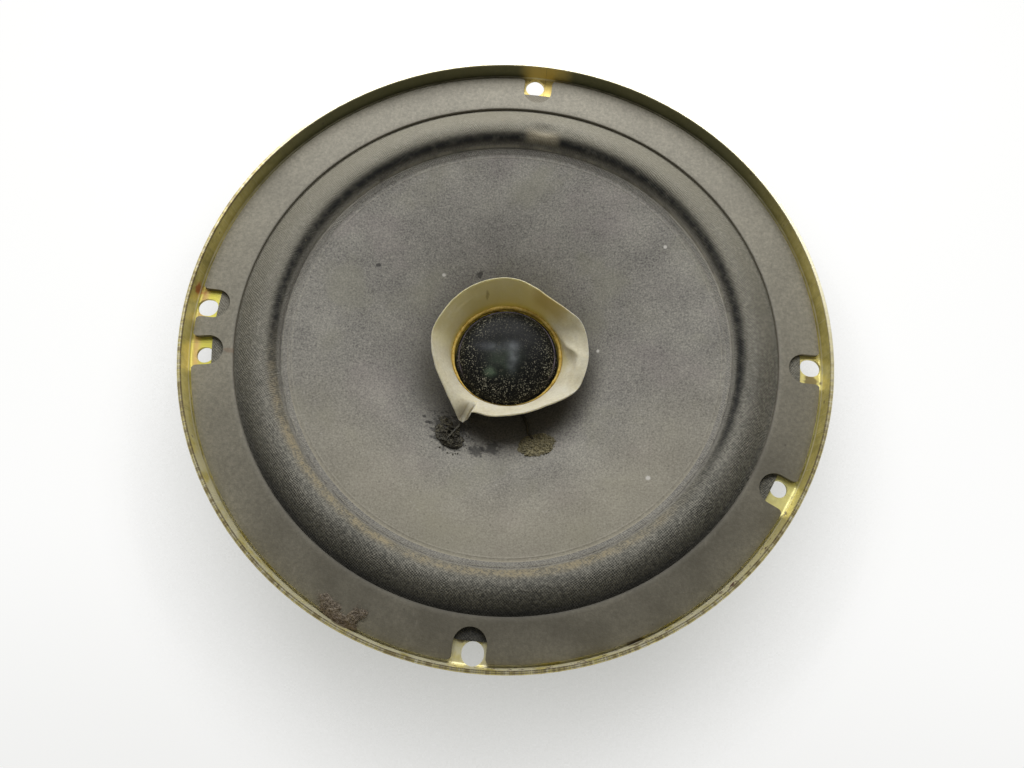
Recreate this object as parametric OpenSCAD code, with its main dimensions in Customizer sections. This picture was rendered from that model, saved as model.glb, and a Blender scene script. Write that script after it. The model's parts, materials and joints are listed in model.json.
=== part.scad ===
// Car door loudspeaker with a pressed basket, a cloth surround, a paper cone and a whizzer.
// The origin is the centre of the back plate's rear face, and +Z points out of the front.

/* [Basket] */
// Diameter across the top of the lip
rim_d = 165; // [158:1:172]
// Thickness of the pressed steel sheet
sheet_t = 0.9; // [0.8:0.1:1.2]
// Height of the lip above the flange
lip_h = 5.2; // [3:0.2:7]
// Inner radius of the fold between flange and lip
fold_r = 0.7; // [0.5:0.1:0.9]
// How far the lip leans outward at its top
lip_flare = 0.6; // [0.2:0.1:1.2]
// How far the flange reaches inside the gasket's inner edge
flange_margin = 1.4; // [0.8:0.1:2]
// Height of the flange above the spider's landing
flange_rise = 24; // [22:0.5:27]
// Height of the spider's landing above the basket's base
landing_rise = 8; // [7:0.5:10]
// How far the basket's base reaches past the top plate
base_margin = 1; // [0.5:0.5:2]
// Width of the step between the base and the spider's landing
step_w = 3; // [2:0.5:4]
// Width of the spider's landing
landing_w = 7.5; // [7:0.5:9]
// Height of the landing's turned-up edge
landing_edge_h = 1; // [0.8:0.1:1.2]
// Depth of the straight wall under the flange
shoulder_h = 5; // [4:0.5:7]
// Number of spokes, and of windows between them
spoke_count = 6; // [4:2:6]
// Width of one window as an angle
window_angle = 42; // [36:1:44]
// Radius of a window's corners
window_corner = 3; // [2:0.5:4]
// Radius of the rib pressed into each spoke
rib_r = 1.6; // [1:0.1:2.2]

/* [Screw holes] */
// Distance of the four main screw holes inside the lip's outer edge
hole_inset = 4.3; // [4.1:0.05:4.6]
// Width of the two side slots
side_slot_w = 4.8; // [4.2:0.1:4.9]
// End-to-end length of the two side slots
side_slot_l = 5.2; // [5:0.1:5.4]
// Width of the top and bottom slots
end_slot_w = 5.2; // [4.6:0.1:5.2]
// End-to-end length of the top and bottom slots
end_slot_l = 5.5; // [5.3:0.1:5.6]
// Diameter of the two spare holes
spare_hole_d = 4.3; // [3.6:0.1:4.8]
// Distance of the two spare holes inside the lip's outer edge
spare_inset = 5.3; // [4.8:0.1:6]
// Angles of the two spare holes
spare_angles = [189.7, 335];

/* [Gasket] */
// Width of the card ring
gasket_w = 10.5; // [9:0.5:11]
// Thickness of the card above the surround's rim
gasket_t = 0.9; // [0.6:0.1:1.6]
// Gap between the card and the lip
gasket_lip_gap = 0.7; // [0.5:0.1:1]
// Radius of the round end of each notch
notch_r = 3.95; // [3.2:0.05:4.4]
// Distance of a notch's round end inside the screw circle
notch_inset = 1.9; // [1:0.1:2.4]
// Radius of the notch's outer corners
notch_corner = 1.4; // [1:0.1:1.8]
// How far the card was glued out of line with the holes, as an angle
gasket_turn = -0.65; // [-1:0.05:1]

/* [Surround] */
// Thickness of the coated cloth
cloth_t = 0.35; // [0.25:0.05:0.5]
// Width of the flat rim under the gasket
rim_overlap = 5.7; // [4.5:0.1:6.2]
// Gap between the gasket's inner edge and the roll
roll_gap = 0.5; // [0.3:0.1:1]
// Width of the half roll
roll_w = 10.9; // [9:0.1:11.2]
// Height of the roll's crown above the flange
roll_h = 3.5; // [2.5:0.1:4.5]
// Width of the flat inner rim on the cone
inner_rim_w = 1.2; // [0.8:0.1:1.6]
// How far the inner rim lies below the flange
inner_drop = 1.4; // [1:0.1:2]

/* [Cone] */
// Thickness of the pressed paper
cone_t = 0.6; // [0.4:0.05:0.9]
// Height of the cone's neck above the spider's landing
neck_rise = 4; // [3.9:0.1:5]
// Exponent of the cone's curve, where 1 is a straight wall
cone_curve = 1.3; // [1.1:0.05:1.4]
// Length of the straight neck
neck_h = 2; // [1.5:0.1:2.4]
// Radius at which the leads pass through the cone
lead_r = 26.2; // [24.5:0.1:28]
// Angles at which the leads pass through the cone
lead_angles = [242, 292];
// Radius of the drops of glue over the leads
glue_spot_r = 3; // [2.2:0.1:3.4]
// Height of the drops of glue
glue_spot_h = 0.9; // [0.6:0.1:1.2]
// Outer diameter of the eyelets' barrels
eyelet_d = 2.4; // [2:0.1:2.8]
// Diameter of the eyelets' flanges
eyelet_flange_d = 3.8; // [3.2:0.1:4.4]
// Thickness of the eyelets' flanges
eyelet_t = 0.2; // [0.15:0.05:0.3]
// Height of the glue between the cone's neck and the former
neck_glue_h = 2.6; // [2:0.1:3]

/* [Whizzer] */
// Thickness of the kraft paper
whizzer_t = 0.4; // [0.3:0.05:0.6]
// Gap between the dust cap's edge and the throat, where the wall turns out
throat_gap = 1.4; // [1.2:0.1:1.7]
// Height of the throat above the whizzer's base
throat_rise = 5.4; // [5:0.1:6]
// Length of the flared wall
flare_l = 9; // [7:0.1:10]
// Angle of the undamaged flared wall from the axis
flare_angle = 32; // [26:1:38]

/* [Dust cap] */
// How far the cap's edge stands out past the former
cap_lip = 0.9; // [0.7:0.1:1.1]
// Thickness of the cap's wall
cap_t = 0.5; // [0.4:0.05:0.7]
// Height of the dome
cap_h = 4.6; // [3.6:0.1:5.6]

/* [Voice coil] */
// Inner diameter of the former
former_in_d = 25.4; // [25.2:0.1:25.6]
// Thickness of the former's wall
former_t = 0.2; // [0.15:0.05:0.3]
// Overhang of the winding past the top plate each way
overhang = 2.8; // [2:0.1:3.4]
// Thickness of the winding
winding_t = 0.5; // [0.4:0.05:0.55]
// Length of former left below the winding
former_tail = 0.6; // [0.4:0.1:1]
// Length of former that stands above the cone's neck
former_top = 5.4; // [5:0.1:5.8]

/* [Spider] */
// Thickness of the cloth disc
spider_t = 0.4; // [0.3:0.05:0.5]
// Height of the corrugations from trough to crest
spider_wave_h = 2.2; // [1.6:0.1:2.6]
// Number of corrugations
spider_waves = 6; // [5:1:7]
// Gap between the disc and the former
spider_gap = 0.35; // [0.3:0.05:0.5]
// Gap between the disc's edge and the wall of the landing
spider_edge_gap = 1.6; // [1:0.2:2]
// Width of the disc's flat edge on the landing
spider_seat_w = 4.4; // [4:0.2:5]

/* [Motor] */
// Diameter of the magnet
magnet_d = 80; // [77:1:84]
// Diameter of the magnet's hole
magnet_hole_d = 36; // [33:1:38]
// Thickness of the magnet
magnet_t = 15; // [13:0.5:18]
// Diameter of the steel plates
plate_d = 75; // [72:1:76]
// Thickness of the top plate
top_plate_t = 4.5; // [4:0.5:6]
// Thickness of the back plate
back_plate_t = 4.5; // [4:0.5:6]
// Radial clearance between the pole and the former
pole_clearance = 0.45; // [0.35:0.05:0.6]
// Radial clearance between the winding and the top plate
gap_clearance = 0.5; // [0.4:0.05:0.7]
// Diameter of the pole's tenon in the back plate
tenon_d = 16; // [14:0.5:18]
// Gap round the tenon and the rivets
fit_gap = 0.05; // [0.03:0.01:0.1]
// Diameter of a rivet's shank
rivet_d = 4; // [3.5:0.1:5]
// Diameter of a rivet's head
rivet_head_d = 7; // [6:0.2:8]
// Height of a rivet's head
rivet_head_h = 1.2; // [0.8:0.1:1.6]
// Depth of a rivet's shank in the top plate
rivet_grip = 2.8; // [2:0.1:3.4]
// Diameter of the circle of rivets
rivet_pcd = 56; // [52:1:60]

/* [Terminals] */
// Width of the terminal board
board_w = 34; // [32:1:38]
// Length of the terminal board along the speaker's radius
board_l = 13; // [12:0.5:15]
// Thickness of the terminal board
board_t = 1.6; // [1.2:0.1:2]
// Width of the basket's ear that carries the board
ear_w = 14; // [12:0.5:15]
// How far the ear reaches out past the spider's landing
ear_l = 16; // [15:0.5:18]
// Diameter of the two rivets that hold the board on the ear
board_rivet_d = 3; // [2.4:0.1:3.4]
// Diameter of those rivets' heads
board_head_d = 4.6; // [4:0.1:5.2]
// Height of those rivets' heads
board_head_h = 0.8; // [0.6:0.1:1]
// Distance of each lug from the middle of the board
lug_offset = 12; // [11:0.5:12.5]
// Width of a lug's foot on the board
foot_w = 4.8; // [4:0.1:5.4]
// Length of a lug's foot on the board
foot_l = 8; // [7:0.5:9]
// Width of a lug's tail
tail_w = 2.6; // [2:0.1:3.2]
// Diameter of the hollow rivet that clenches a lug to the board
clench_d = 2.4; // [2:0.1:2.8]
// Diameter of the hole in a blade
blade_hole_d = 1.3; // [1:0.1:1.6]
// Width of the positive blade
wide_blade_w = 4.8; // [4.4:0.1:6.3]
// Width of the negative blade
narrow_blade_w = 2.8; // [2.4:0.1:4.4]
// Thickness of the blades
blade_t = 0.8; // [0.5:0.1:1]
// Length of the blades beyond the board
blade_l = 8; // [6:0.5:9]
// Diameter of a tinsel lead
lead_d = 1.2; // [1:0.1:1.4]

/* [Hidden] */
$fn = 96;

// Small overlap that lets a cut run clean through a face
eps = 0.5;
// Gap between the moving body and the soft pieces glued to it
soft_gap = 0.3;
// Gap between glued pieces of one body
glue_gap = 0.05;

// Heights of the stack, from the table up
z_magnet = back_plate_t;
z_top_plate = z_magnet + magnet_t;
z_base = z_top_plate + top_plate_t;
z_base_top = z_base + sheet_t;
z_landing = z_base_top + landing_rise;
z_flange = z_landing + flange_rise;
z_lip = z_flange + lip_h;

// Radii of the flange, from the lip inward
lip_out_r = rim_d / 2;
lip_in_r = lip_out_r - sheet_t - lip_flare;
hole_r = lip_out_r - hole_inset;
spare_r = lip_out_r - spare_inset;
gasket_out_r = lip_in_r - gasket_lip_gap;
gasket_in_r = gasket_out_r - gasket_w;
flange_in_r = gasket_in_r - flange_margin;
rim_out_r = gasket_in_r + rim_overlap;
roll_out_r = gasket_in_r - roll_gap;
roll_in_r = roll_out_r - roll_w;
inner_rim_r = roll_in_r - inner_rim_w;

// Radii of the cage, from the base outward
base_r = plate_d / 2 + base_margin;
landing_in_r = base_r + step_w;
landing_out_r = landing_in_r + landing_w;
window_in_r = landing_out_r + 2;
window_out_r = flange_in_r - 4.4;
// The seams at both ends of the spokes lie just inside the windows
spoke_in_r = window_in_r + eps;
spoke_out_r = window_out_r - eps;

// Heights and radii of the moving body
former_in_r = former_in_d / 2;
former_out_r = former_in_r + former_t;
neck_in_r = former_out_r + 0.2;
neck_out_r = neck_in_r + cone_t;
cone_out_r = roll_in_r - 0.1;
z_cone_edge = z_flange - inner_drop - cloth_t - soft_gap;
z_neck = z_landing + neck_rise;
cone_depth = z_cone_edge - z_neck;
z_former_top = z_neck + former_top;
winding_l = top_plate_t + 2 * overhang;
z_winding = z_top_plate - overhang;
z_former = z_winding - former_tail;
pole_r = former_in_r - pole_clearance;
plate_hole_r = former_out_r + glue_gap + winding_t + gap_clearance;
whizzer_base_r = neck_out_r + 0.6;
z_whizzer = cone_top(whizzer_base_r + whizzer_t) + 0.15;
z_throat = z_whizzer + throat_rise;
cap_r = former_out_r + cap_lip;
throat_r = cap_r + throat_gap;

// Places of the terminal board's edge, its rivets and the lugs' tails
ear_reach = landing_out_r + ear_l;
board_y = -ear_reach - 1;
rivet_y = -ear_reach + 5;
z_board = z_landing - sheet_t - board_t;
z_lug = z_board - blade_t;
tail_y = board_y + board_l + 1.2;
tail_top = 1.3;

// Height of the cone's upper face at radius r
function cone_top(r) =
    z_cone_edge - cone_depth * pow(max(0, cone_out_r - r) / (cone_out_r - neck_out_r), cone_curve);

// Lean of the cone's wall at radius r, from level
function cone_lean(r) =
    atan(cone_depth * cone_curve / (cone_out_r - neck_out_r)
        * pow((cone_out_r - r) / (cone_out_r - neck_out_r), cone_curve - 1));

// A point at radius r, angle a and height z
function polar(r, a, z) = [r * cos(a), r * sin(a), z];

// One arc of a circle or an ellipse, as points
function arc(c, rx, ry, a0, a1, n) =
    [for (i = [0 : n]) let (a = a0 + (a1 - a0) * i / n) [c[0] + rx * cos(a), c[1] + ry * sin(a)]];

// A bump of height 1 round angle c, with half width w
function bump(a, c, w) =
    let (d = abs(((a - c + 540) % 360) - 180)) d < w ? 0.5 + 0.5 * cos(180 * d / w) : 0;

module ring(r_out, r_in, h) {
    rotate_extrude() translate([r_in, 0]) square([r_out - r_in, h]);
}

// A slot through z = 0 that runs along X, with its length measured end to end
module slot(length, width, h) {
    reach = (length - width) / 2;
    translate([-reach, -width / 2, 0]) cube([2 * reach, width, h]);
    for (side = [-1, 1]) translate([side * reach, 0, 0]) cylinder(d = width, h = h);
}

// The four main screw slots
module screw_slots(z, h) {
    for (angle = [0, 180]) rotate(angle) translate([hole_r, 0, z]) slot(side_slot_l, side_slot_w, h);
    for (angle = [90, 270]) rotate(angle) translate([hole_r, 0, z]) slot(end_slot_l, end_slot_w, h);
}

// The outline of one window: two arcs round the axis, joined by round corners
module window(r0, r1, w, c) {
    low = asin(c / (r0 + c));
    high = asin(c / (r1 - c));
    function corner(r, a) = [r * cos(a), r * sin(a)];
    polygon(concat(
        arc([0, 0], r1, r1, high - w, w - high, 18),
        arc(corner(r1 - c, w - high), c, c, w - high + 15, w + 75, 4),
        arc(corner(r0 + c, w - low), c, c, w + 90, w + 165, 4),
        arc([0, 0], r0, r0, w - low, low - w, 14),
        arc(corner(r0 + c, low - w), c, c, 195 - w, 270 - w, 4),
        arc(corner(r1 - c, high - w), c, c, -75 - w, high - w - 15, 4)));
}

// Outline of the pressed sheet from the lip's top to the base's hole
module basket_outline() {
    hub_r = plate_hole_r + 1.2;
    shoulder_r = flange_in_r - 0.8;
    polygon(concat(
        [[lip_out_r - sheet_t, z_lip], [lip_out_r - 0.2, z_lip], [lip_out_r, z_lip - 0.3]],
        arc([lip_in_r - fold_r, z_flange + fold_r], fold_r + sheet_t, fold_r + sheet_t, 0, -90, 6),
        [[flange_in_r + 1, z_flange - sheet_t],
         [flange_in_r, z_flange - sheet_t - 0.6],
         [shoulder_r, z_flange - shoulder_h - sheet_t],
         [landing_out_r, z_landing + landing_edge_h - sheet_t],
         [landing_out_r - 1.2, z_landing - sheet_t],
         [landing_in_r + 0.9, z_landing - sheet_t],
         [landing_in_r, z_landing - sheet_t - 1],
         [base_r + sheet_t, z_base + 0.8],
         [base_r, z_base],
         [hub_r, z_base],
         [hub_r, z_base_top],
         [base_r - sheet_t * 0.6, z_base_top],
         [landing_in_r - sheet_t, z_landing - sheet_t + 0.2],
         [landing_in_r - sheet_t + 0.6, z_landing],
         [landing_out_r - 1.6, z_landing],
         [landing_out_r - 0.6, z_landing + 0.8 * landing_edge_h],
         [shoulder_r - sheet_t, z_flange - shoulder_h],
         [flange_in_r - sheet_t, z_flange - 0.7],
         [flange_in_r - 0.2, z_flange]],
        arc([lip_in_r - fold_r, z_flange + fold_r], fold_r, fold_r, -90, 0, 6)));
}

// The part of the pressed sheet between two radii
module basket_zone(r_in, r_out) {
    intersection() {
        rotate_extrude($fn = 180) basket_outline();
        translate([0, 0, z_base - 1]) ring(r_out, r_in, z_lip - z_base + 2);
    }
}

// The windows between the spokes
module windows() {
    for (i = [0 : spoke_count - 1]) rotate((i + 0.5) * 360 / spoke_count + 90)
        translate([0, 0, z_landing + sheet_t + 0.4])
            linear_extrude(flange_rise - sheet_t - 1.5)
                window(window_in_r, window_out_r, window_angle / 2, window_corner);
}

// Lip, flange and shoulder
module basket_rim() {
    hole_h = sheet_t + eps + fold_r + 0.1;
    color([0.62, 0.55, 0.26]) difference() {
        basket_zone(spoke_out_r, lip_out_r + 1);
        screw_slots(z_flange - sheet_t - eps, hole_h);
        for (angle = spare_angles) rotate(angle)
            translate([spare_r, 0, z_flange - sheet_t - eps]) cylinder(d = spare_hole_d, h = hole_h);
        windows();
    }
}

// The spokes, each with a rib but the one over the terminals
module basket_spokes() {
    wall_rise = flange_rise - shoulder_h - landing_edge_h;
    wall_run = flange_in_r - 0.8 - landing_out_r;
    color([0.62, 0.55, 0.26]) difference() {
        union() {
            basket_zone(spoke_in_r, spoke_out_r);
            for (i = [0 : spoke_count - 1]) rotate(i * 360 / spoke_count + 90) {
                if (i != spoke_count / 2) spoke_rib(atan2(wall_rise, wall_run));
            }
        }
        windows();
    }
}

// A half-round rib on the back of one spoke
module spoke_rib(lean) {
    start_r = spoke_in_r + rib_r + 0.5;
    z_start = z_landing + landing_edge_h - sheet_t - 0.1 + (start_r - landing_out_r) * tan(lean);
    length = (spoke_out_r - spoke_in_r - 2 * rib_r - 1) / cos(lean);
    translate([start_r, 0, z_start])
        rotate([0, 90 - lean, 0]) {
            cylinder(r = rib_r, h = length);
            sphere(r = rib_r);
            translate([0, 0, length]) sphere(r = rib_r);
        }
}

// Base, spider's landing and terminal ear
module basket_seat() {
    color([0.62, 0.55, 0.26]) difference() {
        union() {
            basket_zone(0, spoke_in_r);
            terminal_ear();
        }
        windows();
        for (i = [0 : 5]) rotate(i * 60 + 30)
            translate([rivet_pcd / 2, 0, z_base - eps])
                cylinder(d = rivet_d + 2 * fit_gap, h = sheet_t + 2 * eps);
        for (side = [-1, 1])
            translate([side * ear_w / 4, rivet_y, z_landing - sheet_t - eps])
                cylinder(d = board_rivet_d + 2 * fit_gap, h = sheet_t + 2 * eps);
    }
}

// A flat ear under the lower spoke, for the terminal board
module terminal_ear() {
    translate([-ear_w / 2, -ear_reach, z_landing - sheet_t])
        cube([ear_w, ear_reach - landing_out_r + 3, sheet_t]);
}

module notch(r_centre) {
    reach = gasket_out_r + 2 - r_centre;
    translate([r_centre, 0]) circle(r = notch_r);
    translate([r_centre, -notch_r]) square([reach, 2 * notch_r]);
    // The corners at the card's edge are rounded off
    for (side = [-1, 1]) translate([gasket_out_r - notch_corner, side * (notch_r + notch_corner)])
        difference() {
            translate([0, side > 0 ? -notch_corner : 0]) square([notch_corner + 2, notch_corner]);
            circle(r = notch_corner);
        }
}

module gasket_ring() {
    card_h = cloth_t + gasket_t;
    color([0.34, 0.32, 0.30]) difference() {
        translate([0, 0, z_flange]) union() {
            ring(gasket_out_r, rim_out_r + 0.1, card_h);
            translate([0, 0, cloth_t]) ring(gasket_out_r, gasket_in_r, gasket_t);
        }
        for (angle = concat([0, 90, 180, 270], spare_angles)) rotate(angle + gasket_turn)
            translate([0, 0, z_flange - eps]) linear_extrude(card_h + 2 * eps) notch(hole_r - notch_inset);
    }
}

// Outline of the cloth: flat rim, half roll, flat inner rim
module surround_outline() {
    mid_r = (roll_out_r + roll_in_r) / 2;
    half = roll_w / 2;
    n = 20;
    z_in = z_flange - inner_drop;
    // The roll's foot slopes from the flange down to the cone, and the crown rises over it
    upper = [for (i = [0 : n]) let (a = 180 * i / n)
        [mid_r + half * cos(a), z_foot(cos(a)) + cloth_t + (roll_h + inner_drop / 2) * pow(sin(a), 0.9)]];
    lower = [for (i = [n : -1 : 0]) let (a = 180 * i / n)
        [mid_r + (half - cloth_t) * cos(a), z_foot(cos(a)) + (roll_h + inner_drop / 2) * pow(sin(a), 0.9)]];
    polygon(concat([[rim_out_r, z_flange], [rim_out_r, z_flange + cloth_t]], upper,
        [[inner_rim_r, z_in], [inner_rim_r, z_in - cloth_t]], lower));
}

// Height of the roll's underside foot, from 1 at the flange to -1 at the cone
function z_foot(x) = z_flange - (inner_drop + cloth_t) * (1 - x) / 2;

module surround() {
    color([0.27, 0.26, 0.25]) difference() {
        rotate_extrude($fn = 180) surround_outline();
        screw_slots(z_flange - eps, cloth_t + 2 * eps);
    }
}

// Outline of the corrugated disc
module spider_outline() {
    r_in = former_out_r + spider_gap;
    r_out = landing_out_r - spider_edge_gap;
    r_wave = r_out - spider_seat_w;
    steps = spider_waves * 8;
    half_h = spider_wave_h / 2;
    wave = [for (i = [0 : steps]) let (u = i / steps)
        [r_wave + (r_in + 1 - r_wave) * u, z_landing + half_h * (1 - cos(360 * spider_waves * u))]];
    top = [for (p = wave) [p[0], p[1] + spider_t]];
    bottom = [for (i = [len(wave) - 1 : -1 : 0]) wave[i]];
    polygon(concat([[r_out, z_landing], [r_out, z_landing + spider_t]], top,
        [[r_in + 0.4, z_landing + 0.9], [r_in, z_landing + 0.9], [r_in, z_landing]], bottom));
}

module spider() {
    color([0.72, 0.60, 0.36]) rotate_extrude($fn = 120) spider_outline();
}

module top_plate() {
    color([0.62, 0.62, 0.60]) difference() {
        translate([0, 0, z_top_plate]) ring(plate_d / 2, plate_hole_r, top_plate_t);
        for (i = [0 : 5]) rotate(i * 60 + 30)
            translate([rivet_pcd / 2, 0, z_base - rivet_grip - 0.2])
                cylinder(d = rivet_d + 2 * fit_gap, h = rivet_grip + 0.2 + eps);
    }
}

module magnet() {
    color([0.20, 0.20, 0.21]) translate([0, 0, z_magnet]) rotate_extrude($fn = 120) {
        r_out = magnet_d / 2;
        r_in = magnet_hole_d / 2;
        chamfer = 0.8;
        polygon([[r_in, 0], [r_out - chamfer, 0], [r_out, chamfer], [r_out, magnet_t - chamfer],
                 [r_out - chamfer, magnet_t], [r_in, magnet_t]]);
    }
}

module back_plate() {
    color([0.62, 0.62, 0.60]) rotate_extrude($fn = 120) {
        r_out = plate_d / 2;
        r_in = tenon_d / 2 + fit_gap;
        polygon([[r_in, 0], [r_out - 1, 0], [r_out, 1], [r_out, back_plate_t], [r_in, back_plate_t]]);
    }
}

module pole_piece() {
    color([0.58, 0.58, 0.57]) {
        rotate_extrude() polygon([[0, 0.4], [tenon_d / 2, 0.4], [tenon_d / 2, back_plate_t],
            [pole_r, back_plate_t], [pole_r, z_base - 0.5], [pole_r - 0.5, z_base], [0, z_base]]);
    }
}

module plate_rivets() {
    color([0.70, 0.70, 0.68]) for (i = [0 : 5]) rotate(i * 60 + 30) translate([rivet_pcd / 2, 0, 0])
        rotate_extrude($fn = 48) {
            head_r = rivet_head_d / 2;
            z_end = z_base - rivet_grip;
            polygon(concat([[0, z_end], [rivet_d / 2, z_end], [rivet_d / 2, z_base_top]],
                arc([0, z_base_top], head_r, rivet_head_h, 0, 90, 8)));
        }
}

module terminal_board() {
    color([0.42, 0.24, 0.13]) difference() {
        translate([-board_w / 2, board_y, z_board]) cube([board_w, board_l, board_t]);
        for (side = [-1, 1]) {
            translate([side * ear_w / 4, rivet_y, z_board - eps])
                cylinder(d = board_rivet_d + 2 * fit_gap, h = board_t + 2 * eps);
            translate([side * lug_offset, rivet_y, z_board - eps])
                cylinder(d = clench_d + 2 * fit_gap, h = board_t + 2 * eps);
        }
    }
}

// A flat lug on the board's back, with its blade outward and a tail turned up for the lead inward
module terminal_lug(side, blade_w) {
    tail_l = tail_y + blade_t - board_y - foot_l;
    color([0.78, 0.77, 0.72]) translate([side * lug_offset, 0, z_lug]) difference() {
        union() {
            translate([-blade_w / 2, board_y - blade_l + 1, 0]) cube([blade_w, blade_l + 2, blade_t]);
            translate([-blade_w / 2 + 0.6, board_y - blade_l, 0]) cube([blade_w - 1.2, 1 + eps, blade_t]);
            translate([-foot_w / 2, board_y + 1.5, 0]) cube([foot_w, foot_l, blade_t]);
            translate([-tail_w / 2, board_y + foot_l, 0]) cube([tail_w, tail_l, blade_t]);
            translate([-tail_w / 2, tail_y, 0]) cube([tail_w, blade_t, z_landing + tail_top - z_lug]);
            // The hollow rivet that clenches the lug to the board
            translate([0, rivet_y, 0]) cylinder(d = clench_d, h = board_t + blade_t + 0.4);
            translate([0, rivet_y, board_t + blade_t]) cylinder(d = clench_d + 1.2, h = 0.4);
        }
        translate([0, board_y - blade_l / 2, -eps]) cylinder(d = blade_hole_d, h = blade_t + 2 * eps);
    }
}

module terminal_lug_positive() {
    terminal_lug(1, wide_blade_w);
}

module terminal_lug_negative() {
    terminal_lug(-1, narrow_blade_w);
}

module terminal_rivets() {
    color([0.72, 0.70, 0.62]) for (side = [-1, 1]) translate([side * ear_w / 4, rivet_y, 0]) {
        translate([0, 0, z_board - board_head_h]) cylinder(d = board_head_d, h = board_head_h);
        translate([0, 0, z_board - board_head_h])
            cylinder(d = board_rivet_d, h = board_t + sheet_t + 2 * board_head_h);
        translate([0, 0, z_landing]) cylinder(d = board_head_d, h = board_head_h);
    }
}

// Points along a curve through control points, as a cubic spline
function spline(p, i, t) =
    let (a = p[max(0, i - 1)], b = p[i], c = p[i + 1], d = p[min(len(p) - 1, i + 2)])
    0.5 * ((2 * b) + (c - a) * t + (2 * a - 5 * b + 4 * c - d) * t * t + (3 * b - a - 3 * c + d) * t * t * t);
function route(p, n) =
    concat([for (i = [0 : len(p) - 2]) for (k = [0 : n - 1]) spline(p, i, k / n)], [p[len(p) - 1]]);
function unit(v) = v / norm(v);

// A round tube swept along points, closed at both ends
module tube(points, r, sides) {
    n = len(points);
    along = [for (i = [0 : n - 1]) unit(points[min(n - 1, i + 1)] - points[max(0, i - 1)])];
    side = [1, 0, 0];
    rings = [for (i = [0 : n - 1]) let (u = unit(cross(along[i], side)), v = cross(along[i], u))
        for (k = [0 : sides - 1]) let (a = 360 * k / sides) points[i] + r * (u * cos(a) + v * sin(a))];
    faces = concat([[for (k = [0 : sides - 1]) k]],
        [for (i = [0 : n - 2]) for (k = [0 : sides - 1]) let (m = (k + 1) % sides)
            [i * sides + k, (i + 1) * sides + k, (i + 1) * sides + m, i * sides + m]],
        [[for (k = [sides - 1 : -1 : 0]) (n - 1) * sides + k]]);
    polyhedron(points = rings, faces = faces, convexity = 6);
}

// A limp braided lead from the lug's tail up through the window to the cone's eyelet
module tinsel_lead(side, angle) {
    x0 = side * lug_offset;
    y0 = tail_y + blade_t / 2;
    z0 = z_landing + tail_top;
    end = polar(lead_r, angle, cone_top(lead_r) - cone_t - soft_gap - 1);
    middle = (x0 + end[0]) / 2;
    color([0.62, 0.45, 0.28]) tube(route([
        [x0, y0, z0 + glue_gap],
        [x0, y0, z0 + 3.6],
        [x0, y0 + 3.4, z0 + 7],
        [middle, (y0 + end[1]) / 2, z0 + 7.6],
        [end[0], end[1] - 4.5, z0 + 5.2],
        [end[0], end[1] - 0.6, end[2] - 2.6],
        end], 4), lead_d / 2, 8);
}

module tinsel_lead_positive() {
    tinsel_lead(1, lead_angles[1]);
}

module tinsel_lead_negative() {
    tinsel_lead(-1, lead_angles[0]);
}

module cone() {
    n = 28;
    radii = [for (i = [0 : n]) cone_out_r + (neck_out_r - cone_out_r) * i / n];
    top = [for (r = radii) [r, cone_top(r)]];
    bottom = [for (i = [n : -1 : 0]) [radii[i], cone_top(radii[i]) - cone_t]];
    color([0.30, 0.29, 0.29]) difference() {
        rotate_extrude($fn = 180) polygon(concat(top, [[neck_in_r, z_neck], [neck_in_r, z_neck - neck_h],
            [neck_out_r, z_neck - neck_h]], bottom));
        at_leads() translate([0, 0, -2]) cylinder(d = eyelet_d + 2 * fit_gap, h = 4);
    }
}

// Tilt of the flared wall at angle a: bent out on the right, in beside it, and torn at the lower left
function flare_tilt(a) = flare_angle + 17 * bump(a, 3, 44) - 16 * bump(a, 56, 24) - 8 * bump(a, 286, 34)
    + 22 * bump(a, 243, 11) + 4 * bump(a, 170, 24);

// Points of the whizzer's wall at angle a, from base to rim, moved outward by w
function whizzer_wall(a, w) =
    let (tilt = flare_tilt(a),
         lean = atan2(throat_r - whizzer_base_r, throat_rise),
         base = [whizzer_base_r + w, z_whizzer],
         throat = [throat_r + w * cos(lean), z_throat],
         rows = 5)
    concat([polar(base[0], a, base[1])],
        [for (k = [0 : rows]) let (s = flare_l * k / rows, t = lean + (tilt - lean) * min(1, 0.35 + k / rows))
            polar(throat[0] + s * sin(t), a, throat[1] + s * cos(t))]);

module whizzer_cone() {
    steps = 120;
    inner = [for (i = [0 : steps - 1]) whizzer_wall(i * 360 / steps, 0)];
    outer = [for (i = [0 : steps - 1]) whizzer_wall(i * 360 / steps, whizzer_t)];
    rows = len(inner[0]);
    loop = 2 * rows;
    points = [for (i = [0 : steps - 1]) each concat(inner[i], [for (k = [rows - 1 : -1 : 0]) outer[i][k]])];
    faces = [for (i = [0 : steps - 1]) for (k = [0 : loop - 1])
        let (j = (i + 1) % steps, m = (k + 1) % loop)
        [i * loop + k, i * loop + m, j * loop + m, j * loop + k]];
    color([0.68, 0.62, 0.48]) polyhedron(points = points, faces = faces, convexity = 8);
}

module dust_cap() {
    rise = cap_h - cap_t;
    n = 14;
    color([0.08, 0.08, 0.08]) translate([0, 0, z_former_top]) rotate_extrude($fn = 120) polygon(concat(
        [[former_in_r, 0], [cap_r, 0], [cap_r, cap_t]],
        [for (i = [1 : n]) let (a = 90 * i / n) [(cap_r - 0.4) * cos(a), cap_t + rise * sin(a)]],
        [for (i = [n : -1 : 1]) let (a = 90 * i / n) [(former_in_r) * cos(a), rise * sin(a)]]));
}

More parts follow.
